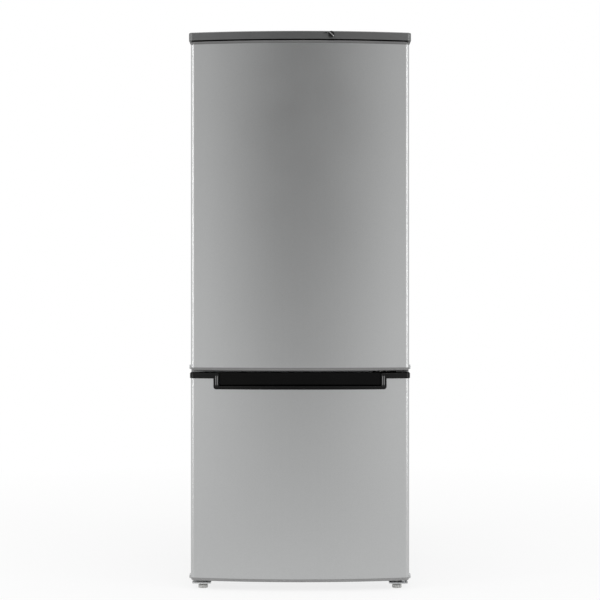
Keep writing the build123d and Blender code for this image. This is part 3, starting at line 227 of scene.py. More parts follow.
# %% Softboxes
overhead_spot = (0, -1.2, 3.6)
overhead_aim = (0, -0.4, 0)
overhead_size = (3.0, 3.0)
overhead_power = 36
side_x = 3.4
side_y = -2.0
side_z = 1.15
side_aim = (0, 0, eye_height)
side_size = (0.6, 3.2)
side_power = 30


def softbox(name, spot, aim, size, power):
    """An oblong area lamp at a spot, turned to what it is aimed at."""
    lamp = bpy.data.lights.new(name, "AREA")
    lamp.shape = "RECTANGLE"
    lamp.size, lamp.size_y = size
    lamp.energy = power
    box = bpy.data.objects.new(name, lamp)
    box.location = spot
    box.rotation_euler = (Vector(aim) - Vector(spot)).to_track_quat("-Z", "Y").to_euler()
    scene.collection.objects.link(box)


softbox("overhead", overhead_spot, overhead_aim, overhead_size, overhead_power)
softbox("left_softbox", (-side_x, side_y, side_z), side_aim, side_size, side_power)
softbox("right_softbox", (side_x, side_y, side_z), side_aim, side_size, side_power)
print("studio: three softboxes")

# %% [markdown]
# ## Finishes
# On a real refrigerator no surface is one flat colour: paint has flakes and a faint orange peel, moulded
# plastic a fine grain, galvanised sheet its spangle. A photograph could be wrapped on as an image, but it
# would smear when the part is seen close. So each finish is worked out from noise in the object's own
# coordinates, in metres, and it keeps its true scale on every piece.

# %% Shared recipe for a finish
noise_low, noise_high = 0.3, 0.7
drift_size = 60 * mm
drift_detail = 3.0
finishes = {}


def grey(tone):
    """A neutral colour."""
    return (tone, tone, tone)


def new_finish(slot):
    """An empty material for a slot of the record: its tree, its shader and the coordinates it reads."""
    material = bpy.data.materials.new(slot)
    material.use_nodes = True
    tree = material.node_tree
    tree.nodes.clear()
    shader = node(tree, "BsdfPrincipled")
    node(tree, "OutputMaterial", {"Surface": shader.outputs[0]})
    finishes[slot] = material
    return tree, shader, node(tree, "TexCoord").outputs["Object"]


def noise(tree, spot, size, detail=2.0):
    """Cloudy noise whose clouds are about size metres wide."""
    return node(tree, "TexNoise", {"Vector": spot, "Scale": 1 / size, "Detail": detail}).outputs[0]


def tones(tree, shader, factor, dark, light):
    """Colour of the shader, from a dark to a light tone over the range that noise mostly keeps to."""
    ramp = node(tree, "ValToRGB", {0: factor})
    stops = ramp.color_ramp.elements
    stops[0].position = noise_low
    stops[1].position = noise_high
    stops[0].color = (*dark, 1)
    stops[1].color = (*light, 1)
    tree.links.new(ramp.outputs["Color"], shader.inputs["Base Color"])
    return stops


def roughen(tree, shader, factor, rough, low=noise_low, high=noise_high):
    """Roughness of the shader, which runs over its range while a factor runs from low to high."""
    tree.links.new(between(tree, factor, *rough, low, high), shader.inputs["Roughness"])


def relief(tree, shader, height, depth, strength):
    """Small bumps, depth metres high, read from a height between 0 and 1."""
    bump = node(tree, "Bump", {"Height": height, "Distance": depth, "Strength": strength})
    tree.links.new(bump.outputs[0], shader.inputs["Normal"])


print("recipe: new_finish, noise, tones, roughen, relief")

# %% [markdown]
# ### Painted steel
# The doors are sheet steel with a silver paint full of aluminium flakes. Each flake lies at its own tilt,
# so close up the paint sparkles, and from a step away it is an even, satin grey. A cell texture gives
# every flake its own tone, and a slow ripple is the orange peel that sprayed paint always has. The
# cabinet's sides have a cheaper pebbled paint.

# %% Door paint and side paint
flake_size = 0.6 * mm
gloss_patch = 120 * mm


def flaked(slot, dark, light, metal, rough, peel, depth):
    """Metallic paint: cells of a random tone are the flakes, slow noise the gloss, ripples the peel."""
    tree, shader, spot = new_finish(slot)
    flakes = node(tree, "TexVoronoi", {"Vector": spot, "Scale": 1 / flake_size}).outputs["Color"]
    tones(tree, shader, node(tree, "RGBToBW", {0: flakes}).outputs[0], dark, light)
    roughen(tree, shader, noise(tree, spot, gloss_patch), rough)
    relief(tree, shader, noise(tree, spot, peel), depth, strength=0.2)
    shader.inputs["Metallic"].default_value = metal


silver = ((0.455, 0.461, 0.461), (0.495, 0.501, 0.501))
pebbled = ((0.44, 0.445, 0.45), (0.50, 0.505, 0.51))
flaked("silver_paint", *silver, metal=0.85, rough=(0.28, 0.31), peel=7 * mm, depth=0.02 * mm)
flaked("side_paint", *pebbled, metal=0.5, rough=(0.44, 0.5), peel=1.6 * mm, depth=0.08 * mm)
print("finishes:", *finishes)

# %% [markdown]
# ### Moulded plastics and rubber
# Caps, grip, liners and small fittings are injection moulded or vacuum formed. What tells them apart is
# their tone, how glossy they are, and the grain that the mould was etched with. One recipe covers them
# all. The end caps of the doors get three greys that grow lighter from top to bottom: painted shade on
# the top cap, which lies under the cover, and painted light on the lowest, which the floor lights.

# %% Plastics and rubber
# Cap greys are painted light and shade: the top cap darker where the cover shades it, the lowest lighter
# where the floor lights it.
cap_shade_greys = {
    "fridge_door_top_cap": 0.122,
    "fridge_door_bottom_cap": 0.187,
    "freezer_door_bottom_cap": 0.265,
}
cap_drift = 0.01


def grained(slot, rough, grain, depth, **sockets):
    """A moulded surface that still lacks its colour: one fine noise is both its gloss and its relief."""
    tree, shader, spot = new_finish(slot)
    fine = noise(tree, spot, grain)
    roughen(tree, shader, fine, rough)
    relief(tree, shader, fine, depth, strength=0.5)
    for name, value in sockets.items():
        shader.inputs[name.replace("_", " ")].default_value = value
    return tree, shader, spot


def moulded(slot, dark, light, rough, grain, depth, **sockets):
    """Moulded plastic or rubber: a grained surface whose tone drifts from dark to light in slow noise."""
    tree, shader, spot = grained(slot, rough, grain, depth, **sockets)
    tones(tree, shader, noise(tree, spot, drift_size, drift_detail), dark, light)
    return tree, shader, spot


for cap, tone in cap_shade_greys.items():
    dark, light = grey(tone - cap_drift), grey(tone + cap_drift)
    moulded(cap, dark, light, (0.34, 0.42), 0.8 * mm, 0.02 * mm)
moulded("polished_black", grey(0.0015), grey(0.003), (0.05, 0.08), 0.9 * mm, 0.003 * mm)
moulded("liner_plastic", (0.80, 0.815, 0.82), (0.84, 0.85, 0.855), (0.22, 0.3), 2.5 * mm, 0.015 * mm)
moulded("white_plastic", (0.78, 0.79, 0.79), (0.82, 0.825, 0.825), (0.28, 0.38), 0.8 * mm, 0.015 * mm)
moulded("gasket_rubber", (0.30, 0.31, 0.32), (0.35, 0.36, 0.37), (0.5, 0.62), 1.2 * mm, 0.03 * mm)
moulded("black_rubber", grey(0.018), grey(0.03), (0.6, 0.75), 1.0 * mm, 0.05 * mm)
# Pale coat for the left foot's bracket: painted light, where it sits in the shade under the door.
moulded("bracket_painted_light", (0.7, 0.71, 0.71), (0.76, 0.77, 0.77), (0.35, 0.45), 1.2 * mm, 0.03 * mm)
moulded("foot_plastic", (0.028, 0.028, 0.03), (0.04, 0.04, 0.042), (0.42, 0.55), 0.6 * mm, 0.03 * mm)
moulded("roller_plastic", (0.62, 0.62, 0.6), (0.7, 0.7, 0.68), (0.4, 0.5), 0.8 * mm, 0.03 * mm)
moulded("foam", (0.7, 0.62, 0.42), (0.8, 0.73, 0.54), (0.85, 0.95), 3.0 * mm, 0.6 * mm)
print("finishes:", len(finishes))

# %% [markdown]
# ### Cover, grip and knob
# Three pieces of plastic look different from place to place. The top cover has a dark metallic paint,
# and its underside is coloured near black as painted shade, so the gap below it reads dark. The top of
# the grip is left matt, because a shiny one would mirror the upper door in the gap. The knob carries a
# grey pointer stripe with a white spot at its end. All this could be cut into the mesh, but it has no
# depth, so it is worked out from coordinates: the height for cover and grip, the distance to a slanting
# line for the stripe, the distance to a point for the spot.

# %% Cover and grip
shade_edge = 0.6 * mm
gap_shade_tone = 0.002
grip_sheen = 0.16
matt_start = 0.8 * mm
matt_end = 0.3 * mm
cover_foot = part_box("top_cover")[0].z
grip_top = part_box("freezer_door_handle")[1].z

tree, shader, spot = grained("dark_plastic", (0.34, 0.42), 0.7 * mm, 0.012 * mm, Metallic=0.7)
height = coordinate(tree, spot, "Z")
# Below the cover's lower edge the colour falls to near black: painted shade in the gap under the cover.
unshaded = between(tree, height, 0.0, 1.0, cover_foot + shade_edge / 2, cover_foot + shade_edge)
clouds = noise(tree, spot, drift_size, drift_detail)
clouds = between(tree, clouds, noise_low, noise_high, noise_low, noise_high)
drift_and_shade = reckon(tree, "MULTIPLY", unshaded, clouds)
stops = tones(tree, shader, drift_and_shade, (0.133, 0.135, 0.135), (0.144, 0.146, 0.146))
# The stop at 0 is the near-black painted shade of the cover's underside.
stops.new(0.0).color = (*grey(gap_shade_tone), 1)

black = (grey(0.0015), grey(0.003))
tree, shader, spot = moulded("black_plastic", *black, (0.08, 0.13), 0.9 * mm, 0.006 * mm)
height = coordinate(tree, spot, "Z")
sheen = between(tree, height, grip_sheen, 0.0, grip_top - matt_start, grip_top - matt_end)
tree.links.new(sheen, shader.inputs["Specular IOR Level"])
print("finishes:", len(finishes))

# %% Knob
pointer_place = (86.2 * mm, 0, 1435.8 * mm)
pointer_radius = 1.1 * mm
stripe_half = 0.8 * mm
stripe_tone = 0.48
ink_blur = 0.2
slant = np.sqrt(0.5)
knob_low, knob_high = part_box("thermostat_knob")


def inked(tree, off, reach, tone):
    """A printed tone that ends, with a slightly soft edge, where the distance off passes reach."""
    return between(tree, off, tone, 0.0, (1 - ink_blur) * reach, (1 + ink_blur) * reach)


tree, shader, spot = grained("knob_plastic", (0.24, 0.34), 0.6 * mm, 0.01 * mm)
flat = reckon_vectors(tree, "MULTIPLY", spot, (1, 0, 1))
off_point = reckon_vectors(tree, "DISTANCE", flat, pointer_place, result="Value")
from_middle = reckon_vectors(tree, "SUBTRACT", spot, (knob_low + knob_high) / 2)
off_line = reckon_vectors(tree, "DOT_PRODUCT", from_middle, (slant, 0, slant), result="Value")
off_line = reckon(tree, "ABSOLUTE", off_line)
mark = inked(tree, off_point, pointer_radius, 1.0)
stripe = inked(tree, off_line, stripe_half, stripe_tone)
tones(tree, shader, reckon(tree, "MAXIMUM", mark, stripe), grey(0.008), grey(0.8))
print("finishes:", len(finishes))

# %% [markdown]
# ### Clear plastic and glass
# Tubs and bins are clear polystyrene with a cold tint, the shelves are toughened glass with its green
# one, and the lamp's cover is milky. All let light through, so the shader transmits and its faint
# unevenness stays in the gloss. The last number of each row is the share of the light that goes through.

# %% Clear finishes
clear_finishes = {
    "clear_plastic": ((0.93, 0.965, 0.98), (0.96, 0.98, 0.99), (0.04, 0.1), 5 * mm, 0.02 * mm, 0.93),
    "shelf_glass": ((0.9, 0.97, 0.94), (0.93, 0.98, 0.96), (0.0, 0.03), 20 * mm, 0.01 * mm, 1.0),
    "lamp_plastic": ((0.9, 0.9, 0.87), (0.93, 0.93, 0.91), (0.25, 0.4), 3 * mm, 0.1 * mm, 0.6),
    "lamp_glass": ((0.92, 0.92, 0.88), (0.95, 0.95, 0.92), (0.02, 0.06), 4 * mm, 0.01 * mm, 0.9),
}
for slot, (*recipe, clearness) in clear_finishes.items():
    moulded(slot, *recipe, Transmission_Weight=clearness)
print("finishes:", len(finishes))

# %% [markdown]
# ### Bare and coated metal
# Behind and below, steel is galvanised and shows its crystals, hinges and screws are zinc plated, pipes
# are copper that has begun to darken, and compressor and condenser are dipped in black enamel. Spangle is
# a cell texture again, but with cells a finger wide. Plated and drawn metal has fine streaks, from noise
# that is stretched along one axis.

# %% Metals
crystal_tones = (0.2, 0.8)
grain_tones = (-0.15, 0.15)
grain_size = 0.8 * mm
dimple_size = 2 * mm
streak_stretch = 0.12


def spangled(slot, dark, light, rough, crystal):
    """Galvanised sheet: each crystal has its own tone and gloss, with a ragged outline and a fine grain."""
    tree, shader, spot = new_finish(slot)
    clouds = node(tree, "TexNoise", {"Vector": spot, "Scale": 1 / crystal, "Detail": drift_detail})
    centred = reckon_vectors(tree, "SUBTRACT", clouds.outputs["Color"], grey(0.5))
    push = node(tree, "VectorMath", {0: centred, "Scale": crystal}, operation="SCALE").outputs[0]
    ragged = reckon_vectors(tree, "ADD", spot, push)
    cells = node(tree, "TexVoronoi", {"Vector": ragged, "Scale": 1 / crystal, "Randomness": 1.0})
    cell_tone = node(tree, "RGBToBW", {0: cells.outputs["Color"]}).outputs[0]
    fine_tone = between(tree, noise(tree, spot, grain_size), *grain_tones)
    shade = reckon(tree, "ADD", between(tree, cell_tone, *crystal_tones), fine_tone)
    tones(tree, shader, shade, dark, light)
    roughen(tree, shader, shade, rough, 0.0, 1.0)
    relief(tree, shader, noise(tree, spot, dimple_size), 0.02 * mm, strength=0.3)
    shader.inputs["Metallic"].default_value = 0.8


def drawn_metal(slot, dark, light, rough, streak):
    """Plated or drawn metal: noise stretched along Z streaks both its tone and its gloss."""
    tree, shader, spot = new_finish(slot)
    stretched = node(tree, "Mapping", {"Vector": spot, "Scale": (1, 1, streak_stretch)}).outputs[0]
    streaks = noise(tree, stretched, streak, detail=4.0)
    tones(tree, shader, streaks, dark, light)
    roughen(tree, shader, streaks, rough)
    relief(tree, shader, streaks, 0.01 * mm, strength=0.3)
    shader.inputs["Metallic"].default_value = 1.0


enamel = ((0.010, 0.010, 0.011), (0.018, 0.018, 0.02))
spangled("galvanised", (0.45, 0.465, 0.475), (0.55, 0.565, 0.575), (0.36, 0.48), 9 * mm)
drawn_metal("hinge_steel", (0.46, 0.47, 0.48), (0.58, 0.585, 0.59), (0.3, 0.42), 2 * mm)
drawn_metal("screw_steel", (0.52, 0.52, 0.51), (0.66, 0.66, 0.64), (0.22, 0.36), 1 * mm)
drawn_metal("cooling_plate", (0.7, 0.72, 0.74), (0.8, 0.815, 0.83), (0.32, 0.45), 3 * mm)
drawn_metal("copper", (0.48, 0.22, 0.13), (0.74, 0.4, 0.27), (0.22, 0.42), 9 * mm)
moulded("frost_tube", (0.78, 0.8, 0.82), (0.85, 0.865, 0.88), (0.38, 0.52), 1.5 * mm, 0.08 * mm)
moulded("black_enamel", *enamel, (0.26, 0.4), 2 * mm, 0.04 * mm, Coat_Weight=0.2)
print("finishes:", len(finishes))

# %% [markdown]
# ### Dress the frame
# Every piece of the frame names its slot in the record, so one loop hands out the finishes. A few pieces
# have a coat of their own that paints in light and shade: the end caps have their greys, the middle
# hinge is enamelled black as painted shade between the doors, and the left foot's bracket is painted
# pale as painted light in the shade under the door. The meshes stay as they are: only what hangs in
# their slots changes.

# %% Hand out the finishes
lit_and_shaded_coats = {cap: cap for cap in cap_shade_greys}
# The middle hinge's black is painted shade between the doors, and the left bracket's pale coat is painted
# light.
lit_and_shaded_coats.update(middle_hinge="black_enamel", left_foot_bracket="bracket_painted_light")
for name, solid in frame["nodes"].items():
    for place in solid.material_slots:
        place.material = finishes[lit_and_shaded_coats.get(name, slot_of[name])]
print("dressed", len(frame["nodes"]), "nodes in", len(finishes), "finishes")

# %% [markdown]
# ## Surfaces from arrays
# A moulded tub, a folded seal and a bent tube have one thing in common: a profile that is carried along a
# path. So the pieces below are grids of points, worked out as whole arrays. Rows follow the profile,
# columns follow the path, and neighbours in the grid make the faces. Modelling them by hand would take
# longer and would not follow the frame.

# %% Grids, shells and pieces
same_point = 1e-6


def grid_faces(rows, columns, wrap_rows):
    """Faces of a grid of points. Columns run round and close, and rows close too where they wrap."""
    row = np.arange(rows if wrap_rows else rows - 1)[:, None]
    column = np.arange(columns)[None, :]
    next_row = (row + 1) % rows
    next_column = (column + 1) % columns
    corners = (
        row * columns + column,
        row * columns + next_column,
        next_row * columns + next_column,
        next_row * columns + column,
    )
    return np.stack(np.broadcast_arrays(*corners), -1).reshape(-1, 4).tolist()


def shell(rings, wrap_rows=False):
    """Closed surface through rings of points: they join into a hoop, or flat ends shut first and last."""
    rows, columns = rings.shape[:2]
    faces = grid_faces(rows, columns, wrap_rows)
    if not wrap_rows:
        faces.append(list(range(columns)))
        faces.append(list(range((rows - 1) * columns, rows * columns)))
    return rings.reshape(-1, 3), faces


def make_piece(name, shells, body, slot, stands_for=(), crease=35, finish=None):
    """Joins shells into one piece: faces outwards, smooth between creases, on a body and in a finish."""
    starts = np.cumsum([0] + [len(spots) for spots, _ in shells]).tolist()
    faces = []
    for start, (_, corners) in zip(starts, shells):
        faces += [[start + k for k in face] for face in corners]
    mesh = bpy.data.meshes.new(name)
    mesh.from_pydata(np.concatenate([spots for spots, _ in shells]).tolist(), [], faces)
    form = bmesh.new()
    form.from_mesh(mesh)
    bmesh.ops.remove_doubles(form, verts=form.verts, dist=same_point)
    bmesh.ops.recalc_face_normals(form, faces=form.faces)
    form.to_mesh(mesh)
    form.free()
    mesh.shade_smooth()
    mesh.set_sharp_from_angle(angle=np.radians(crease))
    mesh.materials.append(finishes[finish or slot])
    piece = bpy.data.objects.new(name, mesh)
    scene.collection.objects.link(piece)
    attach(piece, body)
    if stands_for:
        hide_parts(*stands_for)
    print("piece:", name, len(mesh.polygons), "faces on", body)
    return piece


print("tools: grid_faces, shell, make_piece")

# %% [markdown]
# ## Door seals
# A magnetic seal is a soft extrusion with a bellows between the door and the magnet, cut at 45 degrees
# and welded at the corners. Its two sides fold in and out, which is a cosine of the depth. A rectangle
# shrinks by that inset at each step of the profile, and that alone gives the mitred corners of the real
# one.

# %% Door seals
seal_width = 20 * mm
seal_fold = 3.2 * mm
seal_folds = 2
seal_rows = 25


def folded_seal(name, gasket, body):
    """Seal round a door: at depth t its side lies seal_fold (1 - cos(2 pi folds t)) / 2 inside its edge."""
    low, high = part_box(gasket)
    depth = np.linspace(0, 1, seal_rows)
    fold = seal_fold * (1 - np.cos(2 * np.pi * seal_folds * depth)) / 2
    inset = np.concatenate([fold, seal_width - fold[::-1]])
    y = low.y + np.concatenate([depth, depth[::-1]]) * (high.y - low.y)
    x = high.x - inset
    bottom = low.z + inset
    top = high.z - inset
    corners = [(-x, y, bottom), (x, y, bottom), (x, y, top), (-x, y, top)]
    rings = np.stack([np.stack(corner, -1) for corner in corners], 1)
    return make_piece(name, [shell(rings, wrap_rows=True)], body, "gasket_rubber", [gasket])


folded_seal("fridge_door_seal", "fridge_door_gasket", "fridge_door")
folded_seal("freezer_door_seal", "freezer_door_gasket", "freezer_door")

# %% [markdown]
# ## Wire condenser
# The black grid on the back sheds the heat: one long tube runs to and fro, and dozens of upright wires
# are spot welded to both its faces. The tube's route is straight runs and half circles, so it is enough
# to know the points on the bends and their directions: a ring of points square to each direction makes
# the tube. The wires have six sides, because there are so many of them. Where a wall clip grips the tube
# there is no wire.

# %% Route of the condenser tube
condenser_runs = 19
condenser_pitch = 50 * mm
tube_radius = 2.5 * mm
corner_radius = 22.5 * mm
wire_overhang = 12 * mm
tail_inset = 20 * mm

low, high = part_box("condenser")
grid_y = (low.y + high.y) / 2
grid_half = -low.x - tube_radius
grid_top = high.z - wire_overhang
grid_bottom = grid_top - (condenser_runs - 1) * condenser_pitch
riser_x = high.x - tube_radius
tail_x = tail_inset - grid_half
bend_radius = condenser_pitch / 2
bend_x = grid_half - bend_radius


def bend(x, z, radius, start, end, steps=10):
    """Points on an arc and the directions along it, as (x, z) pairs. Angles are in degrees."""
    angle = np.radians(np.linspace(start, end, steps))
    along = np.sign(end - start)
    spots = np.stack([x + radius * np.cos(angle), z + radius * np.sin(angle)], -1)
    return spots, along * np.stack([-np.sin(angle), np.cos(angle)], -1)


bends = [
    (np.array([[riser_x, low.z]]), np.array([[0.0, 1.0]])),
    bend(riser_x - corner_radius, grid_top - corner_radius, corner_radius, 0, 90),
]
for run in range(condenser_runs - 1):
    z = grid_top - run * condenser_pitch - bend_radius
    if run % 2 == 0:
        bends.append(bend(-bend_x, z, bend_radius, 90, 270))
    else:
        bends.append(bend(bend_x, z, bend_radius, 90, -90))
bends.append(bend(tail_x + corner_radius, grid_bottom - corner_radius, corner_radius, 90, 180))
bends.append((np.array([[tail_x, low.z]]), np.array([[0.0, -1.0]])))
route = np.concatenate([spots for spots, _ in bends])
heading = np.concatenate([along for _, along in bends])
route_length = float(np.hypot(*np.diff(route, axis=0).T).sum())
print("condenser tube:", len(route), "points,", round(route_length, 1), "m")

# %% Condenser tube and wires
wire_radius = 0.8 * mm
wires_each_face = 64
wire_margin = 10 * mm
clip_clearance = 2 * mm
clip_half = 7 * mm
clip_inset = 55 * mm
sideways, inwards, upwards = np.eye(3)


def tube(spots, along, y, radius, sides=12):
    """Round tube in an upright plane: each ring is the radius times cos and sin on two directions across."""
    turn = np.linspace(0, 2 * np.pi, sides, endpoint=False)
    across = np.stack([along[:, 1], -along[:, 0]], -1)
    x = spots[:, 0, None] + radius * np.cos(turn) * across[:, 0, None]
    z = spots[:, 1, None] + radius * np.cos(turn) * across[:, 1, None]
    depth = np.broadcast_to(y + radius * np.sin(turn), x.shape)
    return shell(np.stack([x, depth, z], -1))


def rod(start, end, radius, across, sides=6):
    """Straight wire: at both ends, the radius times cos and sin on two directions across it."""
    turn = np.linspace(0, 2 * np.pi, sides, endpoint=False)[:, None]
    ring = radius * (np.cos(turn) * across[0] + np.sin(turn) * across[1])
    return shell(np.stack([start + ring, end + ring]))


wire_x = np.linspace(wire_margin - grid_half, grid_half - wire_margin, wires_each_face)
off_clip = np.abs(np.abs(wire_x) - (grid_half - clip_inset))
wire_x = wire_x[off_clip > clip_half + wire_radius + clip_clearance]
wires = [
    rod((x, y, grid_bottom - wire_overhang), (x, y, high.z), wire_radius, (sideways, inwards))
    for y in (grid_y - tube_radius - wire_radius, grid_y + tube_radius + wire_radius)
    for x in wire_x
]
shells = [tube(route, heading, grid_y, tube_radius), *wires]
make_piece("wire_condenser", shells, "cabinet", "black_enamel", ["condenser"])
print("condenser wires:", len(wires))

# %% [markdown]
# ## Tubs, crispers and bins
# Freezer drawers, crispers and door bins are moulded in one shot: a drafted wall so that they leave the
# mould, a rounded foot, and a rolled rim that keeps the edge from cutting hands. All three come from one
# profile, carried round a rectangle with rounded corners. The drawers also get the hooked grip that
# fingers pull them by. A bevel rounds what is still sharp.

# %% Moulded forms
tub_wall = 2.5 * mm
tub_foot = 8 * mm
rim_width = 3.5 * mm
rim_height = 9 * mm
rim_round = 1.2 * mm
round_share = 0.3
least_corner = 2 * mm
soft_edge = 0.6 * mm
soft_angle = 50


def plan_ring(low, high, inset, z, corner, steps=6):
    """Rounded rectangles, one for each inset and height: centres of the corners plus a turning radius."""
    turn = np.linspace(0, np.pi / 2, steps)
    angle = (np.arange(4)[:, None] * np.pi / 2 + turn).ravel()
    side_x = np.repeat([1, -1, -1, 1], steps)
    side_y = np.repeat([1, 1, -1, -1], steps)
    radius = np.maximum(corner - inset, least_corner)[:, None]
    half_x = ((high.x - low.x) / 2 - inset)[:, None] - radius
    half_y = ((high.y - low.y) / 2 - inset)[:, None] - radius
    x = (low.x + high.x) / 2 + side_x * half_x + radius * np.cos(angle)
    y = (low.y + high.y) / 2 + side_y * half_y + radius * np.sin(angle)
    return np.stack([x, y, np.broadcast_to(z[:, None], x.shape)], -1)


def tub(low, high, corner, draft):
    """Open box: foot arc, drafted wall, rolled rim and back down inside, as insets at rising heights."""
    turn = np.linspace(0, np.pi / 2, 6)
    foot_in = rim_width + draft + tub_foot * (1 - np.sin(turn))
    foot_up = low.z + tub_foot * (1 - np.cos(turn))
    inner = tub_foot - tub_wall
    floor_in = rim_width + draft + tub_wall + inner * (1 - np.sin(turn[::-1]))
    floor_up = low.z + tub_wall + inner * (1 - np.cos(turn[::-1]))
    rim_in = rim_width + tub_wall
    rim_low = high.z - rim_height
    nip = round_share * rim_round
    rim = [
        (rim_width, rim_low),
        (0, rim_low),
        (0, high.z - rim_round),
        (nip, high.z - nip),
        (rim_round, high.z),
        (rim_in - rim_round, high.z),
        (rim_in - nip, high.z - nip),
        (rim_in, high.z - rim_round),
    ]
    rim_inset, rim_up = np.array(rim).T
    inset = np.concatenate([foot_in, rim_inset, floor_in])
    z = np.concatenate([foot_up, rim_up, floor_up])
    return shell(plan_ring(low, high, inset, z, corner))


def clear_moulding(name, shells, body, node_name):
    """A clear piece that stands for a node of the frame, with its sharp edges rounded by a bevel."""
    piece = make_piece(name, shells, body, "clear_plastic", [node_name])
    bevel = piece.modifiers.new("soft_edges", "BEVEL")
    bevel.width = soft_edge
    bevel.segments = 2
    bevel.limit_method = "ANGLE"
    bevel.angle_limit = np.radians(soft_angle)


print("tools: plan_ring, tub, clear_moulding")

# %% Drawers and crispers
tub_corner = 14 * mm
tub_draft = 5 * mm
grip_reach = 12 * mm
grip_drop = 12 * mm
grip_thickness = 3 * mm
grip_margin = 35 * mm


def hooked_grip(x0, x1, front, wall, top):
    """Grip along a rim: the outline of a hook in Y and Z, drawn out along X."""
    lip = front + grip_thickness
    under = top - grip_thickness
    tip = top - grip_drop
    hook = [(wall, top), (front, top), (front, tip), (lip, tip), (lip, under), (wall, under)]
    y, z = np.array(hook).T
    return shell(np.stack([np.stack([np.full(len(hook), x), y, z], -1) for x in (x0, x1)]))


for name in ("top_drawer", "middle_drawer", "bottom_drawer", "left_crisper", "right_crisper"):
    low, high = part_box(name)
    tub_low = Vector((low.x, low.y + grip_reach, low.z))
    wall_y = tub_low.y + rim_width
    grip = hooked_grip(low.x + grip_margin, high.x - grip_margin, low.y, wall_y, high.z)
    clear_moulding(name + "_tub", [tub(tub_low, high, tub_corner, tub_draft), grip], name, name)

# %% Door bins
bin_corner = 10 * mm
bin_draft = 3 * mm
middle_bin_height = 78 * mm

for name, bin_node in (("bottle_rack", "bottle_bin"), ("dairy_box", "dairy_bin")):
    form = tub(*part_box(bin_node), bin_corner, bin_draft)
    clear_moulding(name, [form], "fridge_door", bin_node)

low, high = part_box("middle_bins")
low_bin_high = Vector((high.x, high.y, low.z + middle_bin_height))
high_bin_low = Vector((low.x, low.y, high.z - middle_bin_height))
low_bin = tub(low, low_bin_high, bin_corner, bin_draft)
high_bin = tub(high_bin_low, high, bin_corner, bin_draft)
clear_moulding("jar_racks", [low_bin, high_bin], "fridge_door", "middle_bins")

# %% [markdown]
# ## Freezer fittings
# In the freezer the cold comes from tubes that double as shelves, with wires welded under them to carry
# frost-laden drawers. The wires cross the tubes, a finger apart. On the door, the vacuum-formed liner has
# a raised bead round its middle, because a flat sheet of that size would rattle. The bead is a rounded
# rectangle whose height is half a sine wave of the distance across it.

# %% Frost wires
frost_tube_radius = 4 * mm
frost_wire_radius = 1 * mm
frost_wires = 17
frost_wire_margin = 2 * mm
frost_wire_set = 20 * mm

low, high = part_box("freezer_evaporator")
left_end = low.x + frost_wire_margin
right_end = high.x - frost_wire_margin
crossing = [
    rod((left_end, y, z), (right_end, y, z), frost_wire_radius, (inwards, upwards))
    for z in (low.z - frost_wire_radius, high.z - 2 * frost_tube_radius - frost_wire_radius)
    for y in np.linspace(low.y + frost_wire_set, high.y - frost_wire_set, frost_wires)
]
make_piece("frost_wires", crossing, "cabinet", "frost_tube")

# %% Bead on the freezer door's liner
bead_margin = 78 * mm
bead_corner = 45 * mm
bead_width = 16 * mm
bead_height = 2.5 * mm
bead_sunk = 0.5 * mm
bead_rows = 13

low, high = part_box("freezer_door_liner")
across = np.linspace(0, bead_width, bead_rows)
rise = bead_height * np.sin(np.pi * across / bead_width)
inset = np.concatenate([across[:1], across, across[-1:]])
depth = high.y + np.concatenate([[-bead_sunk], rise, [-bead_sunk]])
bead_low = Vector((low.x + bead_margin, low.z + bead_margin, 0))
bead_high = Vector((high.x - bead_margin, high.z - bead_margin, 0))
rings = plan_ring(bead_low, bead_high, inset, depth, bead_corner, steps=10)[..., [0, 2, 1]]
make_piece("liner_bead", [shell(rings, wrap_rows=True)], "freezer_door", "liner_plastic")

# %% [markdown]
# ## Marks, ribs and ears on the front
# Three things on the front are very small. A thin wedge, printed on the fascia beside the knob, says
# which way is colder. At each end of the grip two slim ribs stiffen the rim, and their slopes catch the
# light of the softboxes. Both follow the bow of the front, which is an arc, so their depth is worked out
# from x alone. And at the lower corners of each door the sheet is pressed out to a small ear, which holds
# the end cap's catch.

# %% Printed wedge
print_proud = 0.06 * mm
print_sunk = 0.3 * mm
wedge_left = 59 * mm
wedge_right = 70 * mm
wedge_foot = 1443.6 * mm
wedge_least = 0.4 * mm
wedge_most = 3.8 * mm
wedge_points = 12
bow_radius = (panel_high.x**2 + door_bow**2) / (2 * door_bow)


def front_y(x, proud):
    """Depth at x of a face that stands proud of the bowed doors: R less the root of (R + proud)^2 - x^2."""
    return panel_low.y + bow_radius - np.sqrt((bow_radius + proud) ** 2 - x**2)


wedge_x = np.linspace(wedge_left, wedge_right, wedge_points)
wedge_top = wedge_foot + np.linspace(wedge_least, wedge_most, wedge_points)
shown = front_y(wedge_x, print_proud)
sunk = front_y(wedge_x, -print_sunk)
outline = [(shown, wedge_foot), (shown, wedge_top), (sunk, wedge_top), (sunk, wedge_foot)]
rings = np.stack([np.stack(np.broadcast_arrays(wedge_x, y, z), -1) for y, z in outline], 1)
make_piece("printed_wedge", [shell(rings)], "cabinet", "knob_plastic")

# %% Ribs at the ends of the grip
rib_places = (214.2 * mm, 218.4 * mm)
rib_drop = 4 * mm
rib_length = 31 * mm
rib_height = 0.42 * mm
rib_sunk = 0.6 * mm
rib_inner_slope = 0.52 * mm
rib_outer_slope = 1.0 * mm
rib_rows = 25
grip_proud = 2.5 * mm

rib_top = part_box("freezer_door_handle")[1].z - rib_drop
from_crest = np.array([rib_outer_slope, rib_outer_slope, 0, -rib_inner_slope, -rib_inner_slope])
section = np.array([-rib_sunk, 0, rib_height, 0, -rib_sunk])
along = np.sin(np.linspace(-np.pi / 2, np.pi / 2, rib_rows))[:, None]
rib_z = rib_top - rib_length * (1 + along) / 2
lift = np.where(section > 0, section * (1 - along**8), section)


